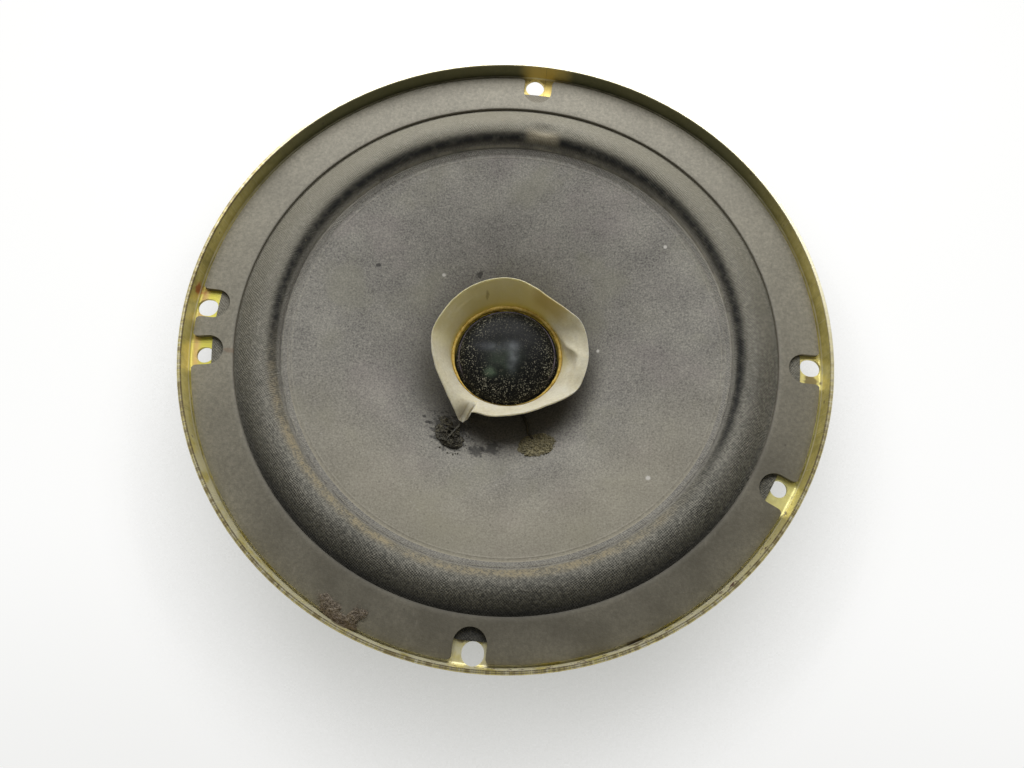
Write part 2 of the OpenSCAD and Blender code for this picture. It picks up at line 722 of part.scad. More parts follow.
module cap_glue_ring() {
    color([0.12, 0.10, 0.08]) rotate_extrude() polygon([
        [former_out_r + glue_gap, z_former_top - 0.9],
        [former_out_r + glue_gap, z_former_top - glue_gap],
        [cap_r - 0.2, z_former_top - glue_gap],
        [former_out_r + 0.4, z_former_top - 0.7]]);
}

module throat_glue_ring() {
    color([0.72, 0.52, 0.12]) rotate_extrude($fn = 120) {
        lean = (throat_r - whizzer_base_r) / throat_rise;
        r_top = throat_r - glue_gap;
        r_low = throat_r - 1.6 * lean - glue_gap;
        polygon([[r_top, z_throat], [r_low, z_throat - 1.6], [r_low - 0.25, z_throat - 1.4],
                 [r_top - 0.45, z_throat - 0.3]]);
    }
}

module neck_glue_ring() {
    z_low = z_neck - neck_h / 2;
    color([0.10, 0.09, 0.08]) rotate_extrude() polygon([
        [former_out_r + glue_gap, z_low],
        [neck_in_r - glue_gap, z_low],
        [neck_in_r - glue_gap, z_neck + 0.1],
        [neck_out_r + 0.1, z_neck + 0.4],
        [former_out_r + glue_gap, z_low + neck_glue_h]]);
}

module voice_coil_former() {
    color([0.62, 0.60, 0.56]) translate([0, 0, z_former])
        ring(former_out_r, former_in_r, z_former_top - z_former);
}

module voice_coil_winding() {
    color([0.66, 0.36, 0.18]) translate([0, 0, z_winding])
        ring(former_out_r + glue_gap + winding_t, former_out_r + glue_gap, winding_l);
}

// Places its children on the cone where the leads come through, square to the paper
module at_leads() {
    for (angle = lead_angles) rotate(angle) translate([lead_r, 0, cone_top(lead_r)])
        rotate([0, -cone_lean(lead_r), 0]) children();
}

module lead_eyelets() {
    low = -cone_t - 2 * eyelet_t;
    barrel_r = eyelet_d / 2;
    bore_r = barrel_r - 0.7;
    flange_r = eyelet_flange_d / 2;
    color([0.74, 0.60, 0.30]) at_leads() rotate_extrude($fn = 48)
        polygon([[bore_r, low], [barrel_r, low], [barrel_r, glue_gap], [flange_r, glue_gap],
                 [flange_r, glue_gap + eyelet_t], [bore_r, glue_gap + eyelet_t]]);
}

// Low round drops of glue over the eyelets
module lead_glue_spots() {
    color([0.30, 0.28, 0.20]) at_leads() translate([0, 0, 2 * glue_gap + eyelet_t])
        rotate_extrude($fn = 48) polygon(concat([[0, 0]], arc([0, 0], glue_spot_r, glue_spot_h, 0, 90, 8)));
}

// Fine wires from the eyelets down the cone to the neck
module coil_lead_wires() {
    wire_r = 0.3;
    r_out = lead_r - glue_spot_r - 0.3;
    r_in = whizzer_base_r + whizzer_t + 0.6;
    n = 8;
    color([0.55, 0.33, 0.18]) for (angle = lead_angles) tube([for (i = [0 : n])
        let (r = r_out + (r_in - r_out) * i / n) polar(r, angle, cone_top(r) + wire_r + 0.15)], wire_r, 8);
}

basket_rim();
basket_spokes();
basket_seat();
gasket_ring();
surround();
spider();
top_plate();
magnet();
back_plate();
pole_piece();
plate_rivets();
terminal_board();
terminal_lug_positive();
terminal_lug_negative();
terminal_rivets();
tinsel_lead_positive();
tinsel_lead_negative();
cone();
whizzer_cone();
dust_cap();
cap_glue_ring();
throat_glue_ring();
neck_glue_ring();
voice_coil_former();
voice_coil_winding();
lead_eyelets();
lead_glue_spots();
coil_lead_wires();
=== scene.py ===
import json
import math
import random
import bpy
from mathutils import Matrix, Vector, noise


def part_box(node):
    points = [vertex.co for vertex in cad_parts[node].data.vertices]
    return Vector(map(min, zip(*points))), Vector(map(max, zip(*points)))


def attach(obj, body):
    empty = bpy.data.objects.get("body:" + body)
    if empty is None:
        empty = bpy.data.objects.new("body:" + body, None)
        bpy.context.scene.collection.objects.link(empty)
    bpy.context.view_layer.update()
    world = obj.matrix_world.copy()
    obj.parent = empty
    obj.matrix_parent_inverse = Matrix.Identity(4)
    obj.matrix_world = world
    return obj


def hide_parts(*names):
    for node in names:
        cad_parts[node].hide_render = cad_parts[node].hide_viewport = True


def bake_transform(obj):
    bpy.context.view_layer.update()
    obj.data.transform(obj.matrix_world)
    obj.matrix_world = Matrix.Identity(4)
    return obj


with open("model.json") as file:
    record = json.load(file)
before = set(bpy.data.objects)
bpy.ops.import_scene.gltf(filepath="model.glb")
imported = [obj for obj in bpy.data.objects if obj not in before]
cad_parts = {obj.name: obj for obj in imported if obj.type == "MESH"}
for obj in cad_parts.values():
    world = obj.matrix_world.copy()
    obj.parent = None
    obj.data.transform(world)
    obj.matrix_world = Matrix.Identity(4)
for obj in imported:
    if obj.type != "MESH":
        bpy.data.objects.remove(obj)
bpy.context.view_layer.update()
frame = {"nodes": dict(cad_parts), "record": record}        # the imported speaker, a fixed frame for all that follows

mm = 0.001      # lengths in the dictionaries are millimetres and angles degrees, unless a comment says metres


# Small helpers for places, curves and colours

def polar(radius, degrees, height=0.0):
    turn = math.radians(degrees)
    return Vector((radius * math.cos(turn), radius * math.sin(turn), height))


def radiusOf(point):
    return math.hypot(point.x, point.y)


def angleOf(point):
    return math.degrees(math.atan2(point.y, point.x)) % 360


def lifted(point, height):
    return point + Vector((0, 0, height))


def waves(point, layer, rate):      # even noise from -1 to 1 over a flat place, with a layer for each use
    return noise.noise(Vector((point.x, point.y, layer)) * rate)


def smooth(low, high, value):      # 0 below low, 1 above high, and an even curve between them
    share = min(1.0, max(0.0, (value - low) / (high - low)))
    return share * share * (3 - 2 * share)


def bump(value, centre, halfWidth):      # a rounded hill of height 1
    distance = abs(value - centre) / halfWidth
    return 0.5 + 0.5 * math.cos(math.pi * distance) if distance < 1 else 0.0


def turnBetween(first, second):      # the smaller angle between two directions, in degrees
    return abs((first - second + 540) % 360 - 180)


def alongRing(stops, degrees):      # a value given at some angles, carried round the ring on a smooth curve
    count = len(stops)
    degrees = (degrees - stops[0][0]) % 360 + stops[0][0]
    i = max(k for k in range(count) if stops[k][0] <= degrees)
    (a0, v0), (a1, v1), (a2, v2), (a3, v3) = (
        (stops[k % count][0] + 360 * (k // count), stops[k % count][1]) for k in range(i - 1, i + 3))
    share = (degrees - a1) / (a2 - a1)
    slope1 = (v2 - v0) / (a2 - a0) * (a2 - a1)
    slope2 = (v3 - v1) / (a3 - a1) * (a2 - a1)
    square, cube = share ** 2, share ** 3
    return ((2 * cube - 3 * square + 1) * v1 + (cube - 2 * square + share) * slope1
            + (3 * square - 2 * cube) * v2 + (cube - square) * slope2)


def catmull(controls, perSpan):      # a smooth line through control points, as the CAD source draws its leads
    line = []
    for i in range(len(controls) - 1):
        a, b = controls[max(0, i - 1)], controls[i]
        c, d = controls[i + 1], controls[min(len(controls) - 1, i + 2)]
        for k in range(perSpan):
            t = k / perSpan
            line.append(0.5 * ((2 * b) + (c - a) * t + (2 * a - 5 * b + 4 * c - d) * t * t
                               + (3 * b - a - 3 * c + d) * t ** 3))
    return line + [controls[-1]]


def paint(red, green, blue):      # a screen colour from 0 to 255, as a shader's linear colour
    def toLinear(value):
        value /= 255
        return value / 12.92 if value <= 0.04045 else ((value + 0.055) / 1.055) ** 2.4
    return (toLinear(red), toLinear(green), toLinear(blue), 1.0)


# Camera, lamps, world and floor

cameraFacts = {
    "focal": 29.355,                          # millimetres on a 36 mm sensor
    "place": (5.504, -81.826, 256.9),         # millimetres from the speaker's origin
    "turns": (2.552, 19.126, 3.383),          # degrees: round Z, tilted off straight down, rolled
}
lightFacts = {
    "place": (-0.02, 0.20, 0.24), "aim": (0.0, -0.01, 0.05),      # metres
    "size": (0.36, 0.2), "watts": 1.0,
    "fill": 0.1,                              # strength of the even light from all round
    "mirrored": 0.16,                         # what shiny parts see of it
}


def addCamera():
    turnZ, tilt, roll = (math.radians(angle) for angle in cameraFacts["turns"])
    bpy.ops.object.camera_add(location=Vector(cameraFacts["place"]) * mm)
    camera = bpy.context.object
    camera.name = "photoCamera"
    camera.data.lens = cameraFacts["focal"]
    camera.data.sensor_width = 36
    camera.data.clip_start = 0.01
    turned = Matrix.Rotation(turnZ, 3, "Z") @ Matrix.Rotation(tilt, 3, "X") @ Matrix.Rotation(roll, 3, "Z")
    camera.rotation_euler = turned.to_euler()
    bpy.context.scene.camera = camera


def addLamp():
    bpy.ops.object.light_add(type="AREA", location=lightFacts["place"])
    lamp = bpy.context.object
    lamp.name = "windowLight"
    lamp.data.shape = "RECTANGLE"
    lamp.data.size, lamp.data.size_y = lightFacts["size"]
    lamp.data.energy = lightFacts["watts"]
    lamp.visible_camera = False
    way = Vector(lightFacts["aim"]) - Vector(lightFacts["place"])
    lamp.rotation_euler = way.to_track_quat("-Z", "Y").to_euler()


addCamera()
addLamp()
print("camera and lamp stand")


# Shader building blocks. They wire nodes into the tree that lies on the bench.

bench = {}      # tree, place (the object's own coordinates), material, shader, look, colour laid on so far


def plug(socket, value):
    if isinstance(value, bpy.types.NodeSocket):
        bench["tree"].links.new(value, socket)
    else:
        socket.default_value = value


def addNode(kind, inputs=None, **settings):
    node = bench["tree"].nodes.new(kind)
    for name, value in settings.items():
        setattr(node, name, value)
    for key, value in (inputs or {}).items():
        plug(node.inputs[key], value)
    return node


def calc(operation, first, second=0.0, third=0.0):
    return addNode("ShaderNodeMath", {0: first, 1: second, 2: third}, operation=operation).outputs[0]


def plus(first, second):
    return calc("ADD", first, second)


def less(first, second):
    return calc("SUBTRACT", first, second)


def scaleAdd(value, factor, offset):
    return calc("MULTIPLY_ADD", value, factor, offset)


def chain(operation, values):
    result = values[0]
    for value in values[1:]:
        result = calc(operation, result, value)
    return result


def times(*values):
    return chain("MULTIPLY", values)


def greatest(*values):
    return chain("MAXIMUM", values)


def vectorCalc(operation, first, second=(0, 0, 0)):
    return addNode("ShaderNodeVectorMath", {0: first, 1: second}, operation=operation)


def squeeze(factors):      # the place, scaled along each axis
    return vectorCalc("MULTIPLY", bench["place"], factors).outputs[0]


def fromAxis():
    return vectorCalc("LENGTH", squeeze((1, 1, 0))).outputs[1]


def roundAxis():      # the direction off the axis, so that a noise over it makes lines that run outwards
    return vectorCalc("NORMALIZE", squeeze((1, 1, 0))).outputs[0]


def along(axis):      # one coordinate: 0 for X, 1 for Y, 2 for Z
    return addNode("ShaderNodeSeparateXYZ", {0: bench["place"]}).outputs[axis]


def fade(value, low, high, start=0.0, end=1.0):
    return addNode("ShaderNodeMapRange", {"Value": value, "From Min": low, "From Max": high, "To Min": start,
                                          "To Max": end}, interpolation_type="SMOOTHSTEP").outputs[0]


def towards(degrees, low, high):      # 0 to 1 on the side of the speaker that lies that way
    return fade(vectorCalc("DOT_PRODUCT", roundAxis(), polar(1.0, degrees)).outputs[1], low, high)


def noiseValue(scale, detail=3.0, roughness=0.55, over=None):
    vector = bench["place"] if over is None else over
    return addNode("ShaderNodeTexNoise", {"Vector": vector, "Scale": scale, "Detail": detail,
                                          "Roughness": roughness}).outputs[0]


def mixValues(factor, first, second):
    return addNode("ShaderNodeMix", {0: factor, 2: first, 3: second}, data_type="FLOAT").outputs[0]


def mixColours(factor, first, second):
    return addNode("ShaderNodeMix", {0: factor, 6: first, 7: second}, data_type="RGBA").outputs[2]


def colourRamp(factor, stops):      # stops hold a place and a screen colour
    node = addNode("ShaderNodeValToRGB", {0: factor})
    elements = node.color_ramp.elements
    while len(elements) < len(stops):
        elements.new(1.0)
    for element, (place, tone) in zip(elements, stops):
        element.position = place
        element.color = paint(*tone)
    return node.outputs[0]


# Effects that several materials use, each a node group with one output

def newGroup(name, output, floats, vectors=("Vector",)):
    group = bpy.data.node_groups.new(name, "ShaderNodeTree")
    for names, kind in ((vectors, "NodeSocketVector"), (floats, "NodeSocketFloat")):
        for socketName in names:
            group.interface.new_socket(name=socketName, in_out="INPUT", socket_type=kind)
    group.interface.new_socket(name=output, in_out="OUTPUT", socket_type="NodeSocketFloat")
    given = group.nodes.new("NodeGroupInput").outputs
    bench.update(tree=group, place=given["Vector"])
    return given


def closeGroup(result):
    addNode("NodeGroupOutput", {0: result})
    return bench["tree"]


def effect(group, over=None, **inputs):
    inputs["Vector"] = bench["place"] if over is None else over
    return addNode("ShaderNodeGroup", inputs, node_tree=group).outputs[0]


def makeSpecksGroup():      # round grains in cells, each there or not by the cell's own random value
    given = newGroup("scatteredSpecks", "Mask", ("Scale", "Size", "Share"))
    cells = addNode("ShaderNodeTexVoronoi", {"Vector": given["Vector"], "Scale": given["Scale"]})
    apart = addNode("ShaderNodeSeparateColor", {0: cells.outputs["Color"]})
    chosen = calc("GREATER_THAN", apart.outputs[0], less(1.0, given["Share"]))
    reach = times(given["Size"], plus(apart.outputs[1], 0.4))
    near = less(1.0, fade(cells.outputs["Distance"], 0.0, reach))
    return closeGroup(times(near, chosen))


def makeBandGroup():      # a band round the speaker's axis at one radius
    given = newGroup("ringBand", "Mask", ("Radius", "Width"))
    off = calc("ABSOLUTE", less(fromAxis(), given["Radius"]))
    return closeGroup(less(1.0, fade(off, 0.0, given["Width"])))


def makeStainGroup():      # a ragged stain round one place
    given = newGroup("raggedStain", "Mask", ("Radius", "Ragged"), ("Vector", "Place"))
    away = vectorCalc("DISTANCE", given["Vector"], given["Place"]).outputs[1]
    ripple = less(noiseValue(900.0, 4.0), 0.5)
    share = plus(calc("DIVIDE", away, given["Radius"]), times(ripple, given["Ragged"]))
    return closeGroup(less(1.0, fade(share, 0.55, 1.1)))


def makeWeaveGroup():      # plain weave: threads along X and Y that pass over and under each other
    given = newGroup("plainWeave", "Height", ("Pitch", "Drift"))
    drift = addNode("ShaderNodeTexNoise", {"Vector": given["Vector"], "Scale": 260.0, "Detail": 2.0})
    pushed = vectorCalc("SUBTRACT", drift.outputs["Color"], (0.5, 0.5, 0.5)).outputs[0]
    scaled = addNode("ShaderNodeVectorMath", {0: pushed, "Scale": given["Drift"]}, operation="SCALE")
    moved = vectorCalc("ADD", given["Vector"], scaled.outputs[0]).outputs[0]
    apart = addNode("ShaderNodeSeparateXYZ", {0: moved})
    rate = calc("DIVIDE", 2 * math.pi, given["Pitch"])
    warp, weft = (calc("SINE", times(apart.outputs[axis], rate)) for axis in (0, 1))
    even = scaleAdd(times(warp, weft), 0.5, 0.5)
    worn = fade(noiseValue(210.0), 0.35, 0.65, 0.35, 0.8)
    return closeGroup(mixValues(worn, noiseValue(1700.0, 2.0, 0.7), even))


def makeMottleGroup():      # a coarse cloud and a fine grain in one value round 0.5
    given = newGroup("mottling", "Value", ("Coarse", "Fine", "Balance"))
    cloud = noiseValue(given["Coarse"], 4.0)
    return closeGroup(mixValues(given["Balance"], cloud, noiseValue(given["Fine"], 2.0, 0.7)))


specksGroup = makeSpecksGroup()
bandGroup = makeBandGroup()
stainGroup = makeStainGroup()
weaveGroup = makeWeaveGroup()
mottleGroup = makeMottleGroup()


def specks(scale, size, share, over=None):
    return effect(specksGroup, over, Scale=scale, Size=size, Share=share)


def band(radius, width):
    return effect(bandGroup, Radius=radius * mm, Width=width * mm)


def stain(centre, radius, ragged=0.8, stretch=(1, 1, 1)):      # stretch above 1 narrows it that way
    over = None if stretch == (1, 1, 1) else squeeze(stretch)
    middle = Vector([value * factor for value, factor in zip(centre, stretch)]) * mm
    return effect(stainGroup, over, Place=middle, Radius=radius * mm, Ragged=ragged)


def mottle(coarse, fine, balance=0.5):
    return effect(mottleGroup, Coarse=coarse, Fine=fine, Balance=balance)


# A material starts with its shader, gets a ground colour and coats over it, and is sealed with its relief

def newMaterial(name, look=None, **constants):      # constants are set on the shader's own sockets
    material = bpy.data.materials.new(name)
    material.use_nodes = True
    material.node_tree.nodes.clear()
    bench.update(tree=material.node_tree, material=material, look=look)
    shader = addNode("ShaderNodeBsdfPrincipled")
    addNode("ShaderNodeOutputMaterial", {0: shader.outputs[0]})
    for key, value in constants.items():
        shader.inputs[key.replace("_", " ")].default_value = value
    bench.update(shader=shader, place=addNode("ShaderNodeTexCoord").outputs["Object"])


def ground(value=None):      # the look's row of tones over the value, or its one dark tone
    look = bench["look"]
    bench["colour"] = paint(*look["dark"]) if value is None else colourRamp(value, look["tones"])


def coat(tone, *masks):      # lays a tone of the look, or a colour socket, where all the masks let it
    colour = paint(*bench["look"][tone]) if isinstance(tone, str) else tone
    bench["colour"] = mixColours(times(*masks), bench["colour"], colour)


def seal(height, depth, strength, **feeds):
    relief = addNode("ShaderNodeBump", {"Height": height, "Distance": depth, "Strength": strength})
    feeds.update({"Base Color": bench["colour"], "Normal": relief.outputs[0]})
    for name, value in feeds.items():
        plug(bench["shader"].inputs[name], value)
    return bench["material"]


floorFacts = {
    "size": 8, "under": 0.0001,               # metres, and how far it lies under the magnet
    "tones": [(0.3, (240, 240, 238)), (0.7, (247, 247, 246))],
    "glow": 0.88, "strength": 1.05,           # share that shines by itself, and how strongly
    # the glow's painted shadow near the speaker, its tone in the open, and the painted shade in front of the speaker
    "shadeReach": 0.075, "shadePower": 2.0, "shadeTone": (118, 119, 108),
    "open": (255, 255, 254), "southShadeTone": (232, 232, 230), "southShadeStrength": 0.5,
}


def makeWorld():
    world = bpy.data.worlds.new("studioWorld")
    bpy.context.scene.world = world
    world.use_nodes = True
    world.node_tree.nodes.clear()
    bench["tree"] = world.node_tree
    path = addNode("ShaderNodeLightPath").outputs
    mirrored = times(path["Is Glossy Ray"], lightFacts["mirrored"])
    strength = greatest(path["Is Camera Ray"], path["Is Transmission Ray"], mirrored, lightFacts["fill"])
    light = addNode("ShaderNodeBackground", {"Color": (1.0, 1.0, 1.0, 1.0), "Strength": strength})
    addNode("ShaderNodeOutputWorld", {0: light.outputs[0]})


def makeFloor():      # it glows by itself where the camera sees it, with a painted shadow close to the speaker and painted shade on the floor in front of it
    facts = floorFacts
    bpy.ops.mesh.primitive_plane_add(size=facts["size"], location=(0, 0, -facts["under"]))
    floor = bpy.context.object
    floor.name = "paleFloor"
    material = bpy.data.materials.new("palePaper")
    material.use_nodes = True
    material.node_tree.nodes.clear()
    bench["tree"] = material.node_tree
    bench["place"] = addNode("ShaderNodeTexCoord").outputs["Object"]
    path = addNode("ShaderNodeLightPath").outputs
    matte = addNode("ShaderNodeBsdfDiffuse", {"Color": colourRamp(mottle(6.0, 900.0, 0.3), facts["tones"])})
    # painted shadow: the glow turns grey where the speaker hides the sky
    openness = addNode("ShaderNodeAmbientOcclusion", {"Distance": facts["shadeReach"]}, samples=8)
    shade = calc("POWER", openness.outputs["AO"], facts["shadePower"])
    north = along(1)
    # painted shade: the glow turns grey on the floor in front of the speaker
    southShade = times(fade(north, -0.04, -0.14), fade(north, -0.32, -0.22), facts["southShadeStrength"])
    grey = mixColours(southShade, paint(*facts["open"]), paint(*facts["southShadeTone"]))
    grey = mixColours(shade, paint(*facts["shadeTone"]), grey)
    glow = addNode("ShaderNodeEmission", {"Color": grey, "Strength": facts["strength"]})
    share = greatest(path["Is Camera Ray"], path["Is Glossy Ray"], path["Is Transmission Ray"])
    share = times(share, facts["glow"])
    both = addNode("ShaderNodeMixShader", {0: share, 1: matte.outputs[0], 2: glow.outputs[0]})
    below = times(addNode("ShaderNodeNewGeometry").outputs["Backfacing"], path["Is Camera Ray"])
    clear = addNode("ShaderNodeBsdfTransparent")      # seen from below, the floor isn't there
    sided = addNode("ShaderNodeMixShader", {0: below, 1: both.outputs[0], 2: clear.outputs[0]})
    addNode("ShaderNodeOutputMaterial", {0: sided.outputs[0]})
    floor.data.materials.append(material)


makeWorld()
makeFloor()
print("floor and world are set")


# Materials. Tones are screen colours, heights and radii that a fade runs between are in metres.

zincLook = {
    "tones": [(0.30, (168, 156, 84)), (0.42, (214, 200, 116)), (0.52, (238, 224, 140)),
              (0.62, (218, 208, 118)), (0.72, (234, 204, 150))],
    # edge is the tone of the painted highlights, and shade that of the painted shade on the lip's far side
    "worn": (240, 234, 198), "edge": (252, 246, 216), "rust": (84, 54, 34), "lime": (222, 214, 76),
    "peach": (224, 180, 132), "pale": (238, 232, 156), "red": (196, 100, 60), "amber": (232, 206, 112),
    "brown": (96, 76, 46), "tarnish": (150, 132, 74), "dull": (188, 170, 94), "shade": (80, 86, 64),
    "face": (0.0555, 0.0563), "level": (0.0572, 0.0577), "foldStart": (0.0572, 0.0575),
    "foldEnd": (0.0578, 0.0581), "lipSide": (0.0568, 0.0575), "lipTop": (0.0616, 0.0620),
    "lipLines": (0.0613, 0.0618), "lipFront": (0.0816, 0.0819), "lipBack": (0.0822, 0.0824),
    # marks: place in millimetres, radius and tone
    "marks": (((-80.6, 4.2, 58.6), 1.9, "red"), ((-79.0, 7.6, 57.2), 1.2, "peach"),
              ((78.2, -3.9, 57.0), 2.0, "brown"), ((-2.9, -75.0, 57.0), 1.2, "brown"),
              ((36.8, -71.9, 57.6), 2.6, "brown"), ((-31.0, -74.5, 57.6), 3.2, "brown")),
    # lines along the folded lip: radius, half width, strength and tone; the last, light one is a painted highlight on
    # the inner border
    "lines": ((0.0821, 0.0002, 0.6, "brown"), (0.0816, 0.00028, 0.8, "brown"), (0.0811, 0.00034, 0.9, "edge")),
}


def makeZinc():
    look = zincLook
    newMaterial("yellowZinc", look, IOR=1.8)
    ground(mottle(34.0, 420.0, 0.3))
    height, reach, around = along(2), fromAxis(), roundAxis()
    patches = noiseValue(150.0, 4.0)
    rays = noiseValue(420.0, 2.0, over=around)      # fine lines across the lip, left by the press
    front = times(fade(height, *look["face"]), fade(reach, *look["lipFront"], 1.0, 0.0))
    level = times(front, fade(height, *look["level"], 1.0, 0.0))
    # painted highlights along the press lines
    coat("edge", fade(rays, 0.56, 0.72, 0.0, 0.35))
    # painted shade on the face of the lip at the far side, which looks away from the lamp
    coat("shade", towards(92, 0.25, 0.75), front, 0.85)
    coat("amber", towards(88, 0.9945, 0.9995), front, 0.9)
    left = towards(185, 0.975, 0.993)
    coat("lime", left, level, fade(patches, 0.3, 0.5, 0.35, 0.85))
    coat("peach", left, level, band(79.6, 1.6), 0.7)
    coat("pale", towards(341, 0.95, 0.98), level, fade(patches, 0.4, 0.6, 0.2, 0.8))
    coat("worn", towards(265, 0.3, 0.75), front, fade(patches, 0.36, 0.52))
    for where, radius, tone in look["marks"]:
        coat(tone, stain(where, radius, 1.2), front, 0.8)
    rust = times(towards(300, 0.7, 0.9), front, fade(height, *look["lipSide"]),
                 fade(noiseValue(420.0, 5.0), 0.56, 0.63))
    dots = times(specks(520.0, 0.3, 0.1), front, 0.8)
    dark = greatest(rust, dots, times(fade(rays, 0.27, 0.33, 1.0, 0.0), front, 0.6))
    coat("rust", dark)
    # painted highlight along the fold at the foot of the lip wall
    fold = times(fade(height, *look["foldStart"]), fade(height, *look["foldEnd"], 1.0, 0.0), front)
    coat("edge", fold, fade(noiseValue(14.0, over=around), 0.3, 0.6, 0.45, 0.9))
    # painted highlight along the top of the lip, broken up on the near side
    rim = fade(height, *look["lipTop"])
    broken = fade(noiseValue(110.0, 4.0, over=around), 0.4, 0.62, 0.1, 0.95)
    nearSide = towards(250, -0.6, 0.0)      # at the far side the light on the lip is whole
    coat("edge", rim, greatest(broken, scaleAdd(nearSide, -0.8, 0.8)))
    coat("tarnish", rim, fade(noiseValue(55.0, 4.0, over=around), 0.46, 0.6, 0.0, 0.8), nearSide)
    for radius, width, strength, tone in look["lines"]:
        offset = calc("ABSOLUTE", less(reach, radius))
        line = times(fade(offset, 0.00006, width, 1.0, 0.0), fade(rays, 0.36, 0.5, 0.35, 1.0))
        coat(tone, line, fade(height, *look["lipLines"]), nearSide, strength)
    behind = greatest(less(1.0, fade(height, *look["face"])), fade(reach, *look["lipBack"]))
    coat("dull", behind, fade(noiseValue(48.0, 5.0), 0.35, 0.6, 0.25, 0.8))
    metal = less(scaleAdd(behind, 0.32, 0.5), times(dark, 0.4))
    rough = plus(scaleAdd(noiseValue(700.0), 0.3, 0.3), times(dark, 0.3))
    uneven = plus(noiseValue(1400.0), times(rays, 0.6))
    return seal(uneven, 0.00006, 0.5, Metallic=metal, Roughness=rough)


cardLook = {"tones": [(0.34, (116, 111, 96)), (0.5, (133, 128, 112)), (0.64, (149, 143, 126))],
            # the south tone is the painted shade on the near side
            "rub": (148, 141, 127), "rust": (126, 88, 54), "dirt": (66, 61, 52), "southShade": (84, 79, 65)}


def makeCard():
    newMaterial("greyCard", cardLook, Roughness=0.58, Specular_IOR_Level=0.6)
    ground(mottle(60.0, 1300.0, 0.62))
    # painted shade: the card darkens towards the near side, away from the lamp
    coat("southShade", towards(285, -0.1, 0.9), fade(noiseValue(90.0), 0.3, 0.7, 0.5, 0.9), 0.85)
    coat("rub", specks(900.0, 0.32, 0.12, squeeze((1, 0.35, 1))), 0.35)      # fibres
    coat("dirt", specks(420.0, 0.14, 0.07), 0.7)
    # painted shade along the card's inner edge, where it steps down to the cloth
    coat("dirt", band(69.9, 0.3), 0.5)
    coat("rust", stain((-69.9, -11.6, 58.2), 1.3, 1.2, (0.7, 1.6, 1)), 0.35)
    return seal(mottle(300.0, 2500.0, 0.6), 0.00012, 0.55)


clothLook = {"pitch": 0.7, "drift": 0.0013, "dark": (88, 87, 79), "light": (158, 154, 141), "tar": (56, 56, 50),
             # the soot tone is also painted shade, the haze tone dust and painted sheen, and the lit and rim tones
             # painted light
             "dust": (158, 146, 118), "dustAndSheen": (142, 137, 120), "rim": (134, 128, 114), "sootAndShade": (24, 24, 22),
             "crack": (52, 46, 38), "lit": (232, 227, 210), "outerFoot": (0.0645, 0.0697),
             "innerFoot": (0.0588, 0.0600), "glued": (0.0587, 0.0593), "rimStart": (0.0697, 0.0703)}


def makeSurroundCloth():
    look = clothLook
    newMaterial("surroundCloth", look, Roughness=0.66, Specular_IOR_Level=0.4)
    weave = effect(weaveGroup, Pitch=look["pitch"] * mm, Drift=look["drift"])
    grain = mottle(45.0, 1300.0, 0.6)
    reach, facing, gap = fromAxis(), towards(265, 0.1, 0.75), towards(86.5, 0.9955, 0.9993)
    ground()
    coat("light", scaleAdd(fade(weave, 0.2, 0.8), 0.5, fade(noiseValue(1500.0, 2.0), 0.35, 0.65, 0.0, 0.5)))
    coat("tar", fade(grain, 0.42, 0.64, 0.0, 0.55))
    # lighter towards the far side, which faces the lamp: dust and painted sheen
    coat("dustAndSheen", towards(95, -0.7, 0.9), fade(grain, 0.35, 0.6, 0.4, 0.7))
    # painted shade on the outer slope of the roll at the near side
    coat("sootAndShade", fade(reach, *look["outerFoot"], 0.0, 0.75), facing)
    groove = times(band(59.85, 1.9), less(less(1.0, facing), gap))      # painted shade in the groove at the far side, but for the dent
    coat("sootAndShade", groove, fade(noiseValue(520.0, 4.0), 0.3, 0.6, 0.72, 1.0))
    inside = greatest(band(60.0, 1.9), fade(reach, *look["innerFoot"], 0.3, 0.0))
    crumbs = fade(mottle(330.0, 1500.0), 0.42, 0.6, 0.2, 1.0)
    coat("dust", greatest(times(inside, towards(255, 0.25, 0.8), crumbs), times(band(60.4, 2.6), gap, 0.6)))
    # the flat cloth beyond the roll is lighter on the far side: dust and painted light
    coat("rim", fade(reach, *look["rimStart"]), towards(100, 0.0, 0.5), 0.7)
    paper = colourRamp(mottle(90.0, 2100.0, 0.72), paperLook["tones"])
    coat(paper, fade(reach, *look["glued"], 0.85, 0.0))
    torn = fade(noiseValue(260.0), 0.35, 0.6, 0.15, 0.7)
    # painted light on the cloth's inner edge at the far side, which lies in shade there
    coat("lit", band(58.45, 0.45), towards(80, 0.0, 0.5), torn)
    coat("crack", band(58.45, 0.14), torn)
    coat("dustAndSheen", band(58.15, 0.2), torn, 0.8)
    coat("dust", specks(500.0, 0.16, 0.06), 0.5)
    return seal(plus(weave, noiseValue(1500.0, 2.0)), 0.00022, 0.7)


# lights and darks: place in millimetres and radius
paperLook = {"tones": [(0.34, (100, 97, 92)), (0.45, (130, 127, 120)), (0.55, (147, 144, 135)),
                       (0.66, (168, 164, 152))],
             "rose": (146, 132, 134), "olive": (138, 136, 118), "sootAndShade": (44, 43, 42), "lint": (214, 210, 202),
             "ring": (176, 170, 154), "dust": (172, 164, 140), "ridges": (57.0, 56.0),
             "lights": ((40.2, 32.8, 53.4, 0.55), (38.6, -32.2, 52.9, 0.7), (24.8, 4.5, 42.7, 0.5),
                        (-20.0, 21.9, 44.8, 0.6)),
             "darks": ((-37.5, 20.3, 50.2, 0.7), (-10.1, 24.1, 43.1, 1.0), (-5.3, -27.3, 43.9, 2.3),
                       (-20.1, -19.5, 44.0, 0.5), (-19.1, -21.1, 44.2, 0.6), (-12.6, -22.6, 43.4, 6.0),
                       (-1.5, -26.0, 43.4, 2.6))}


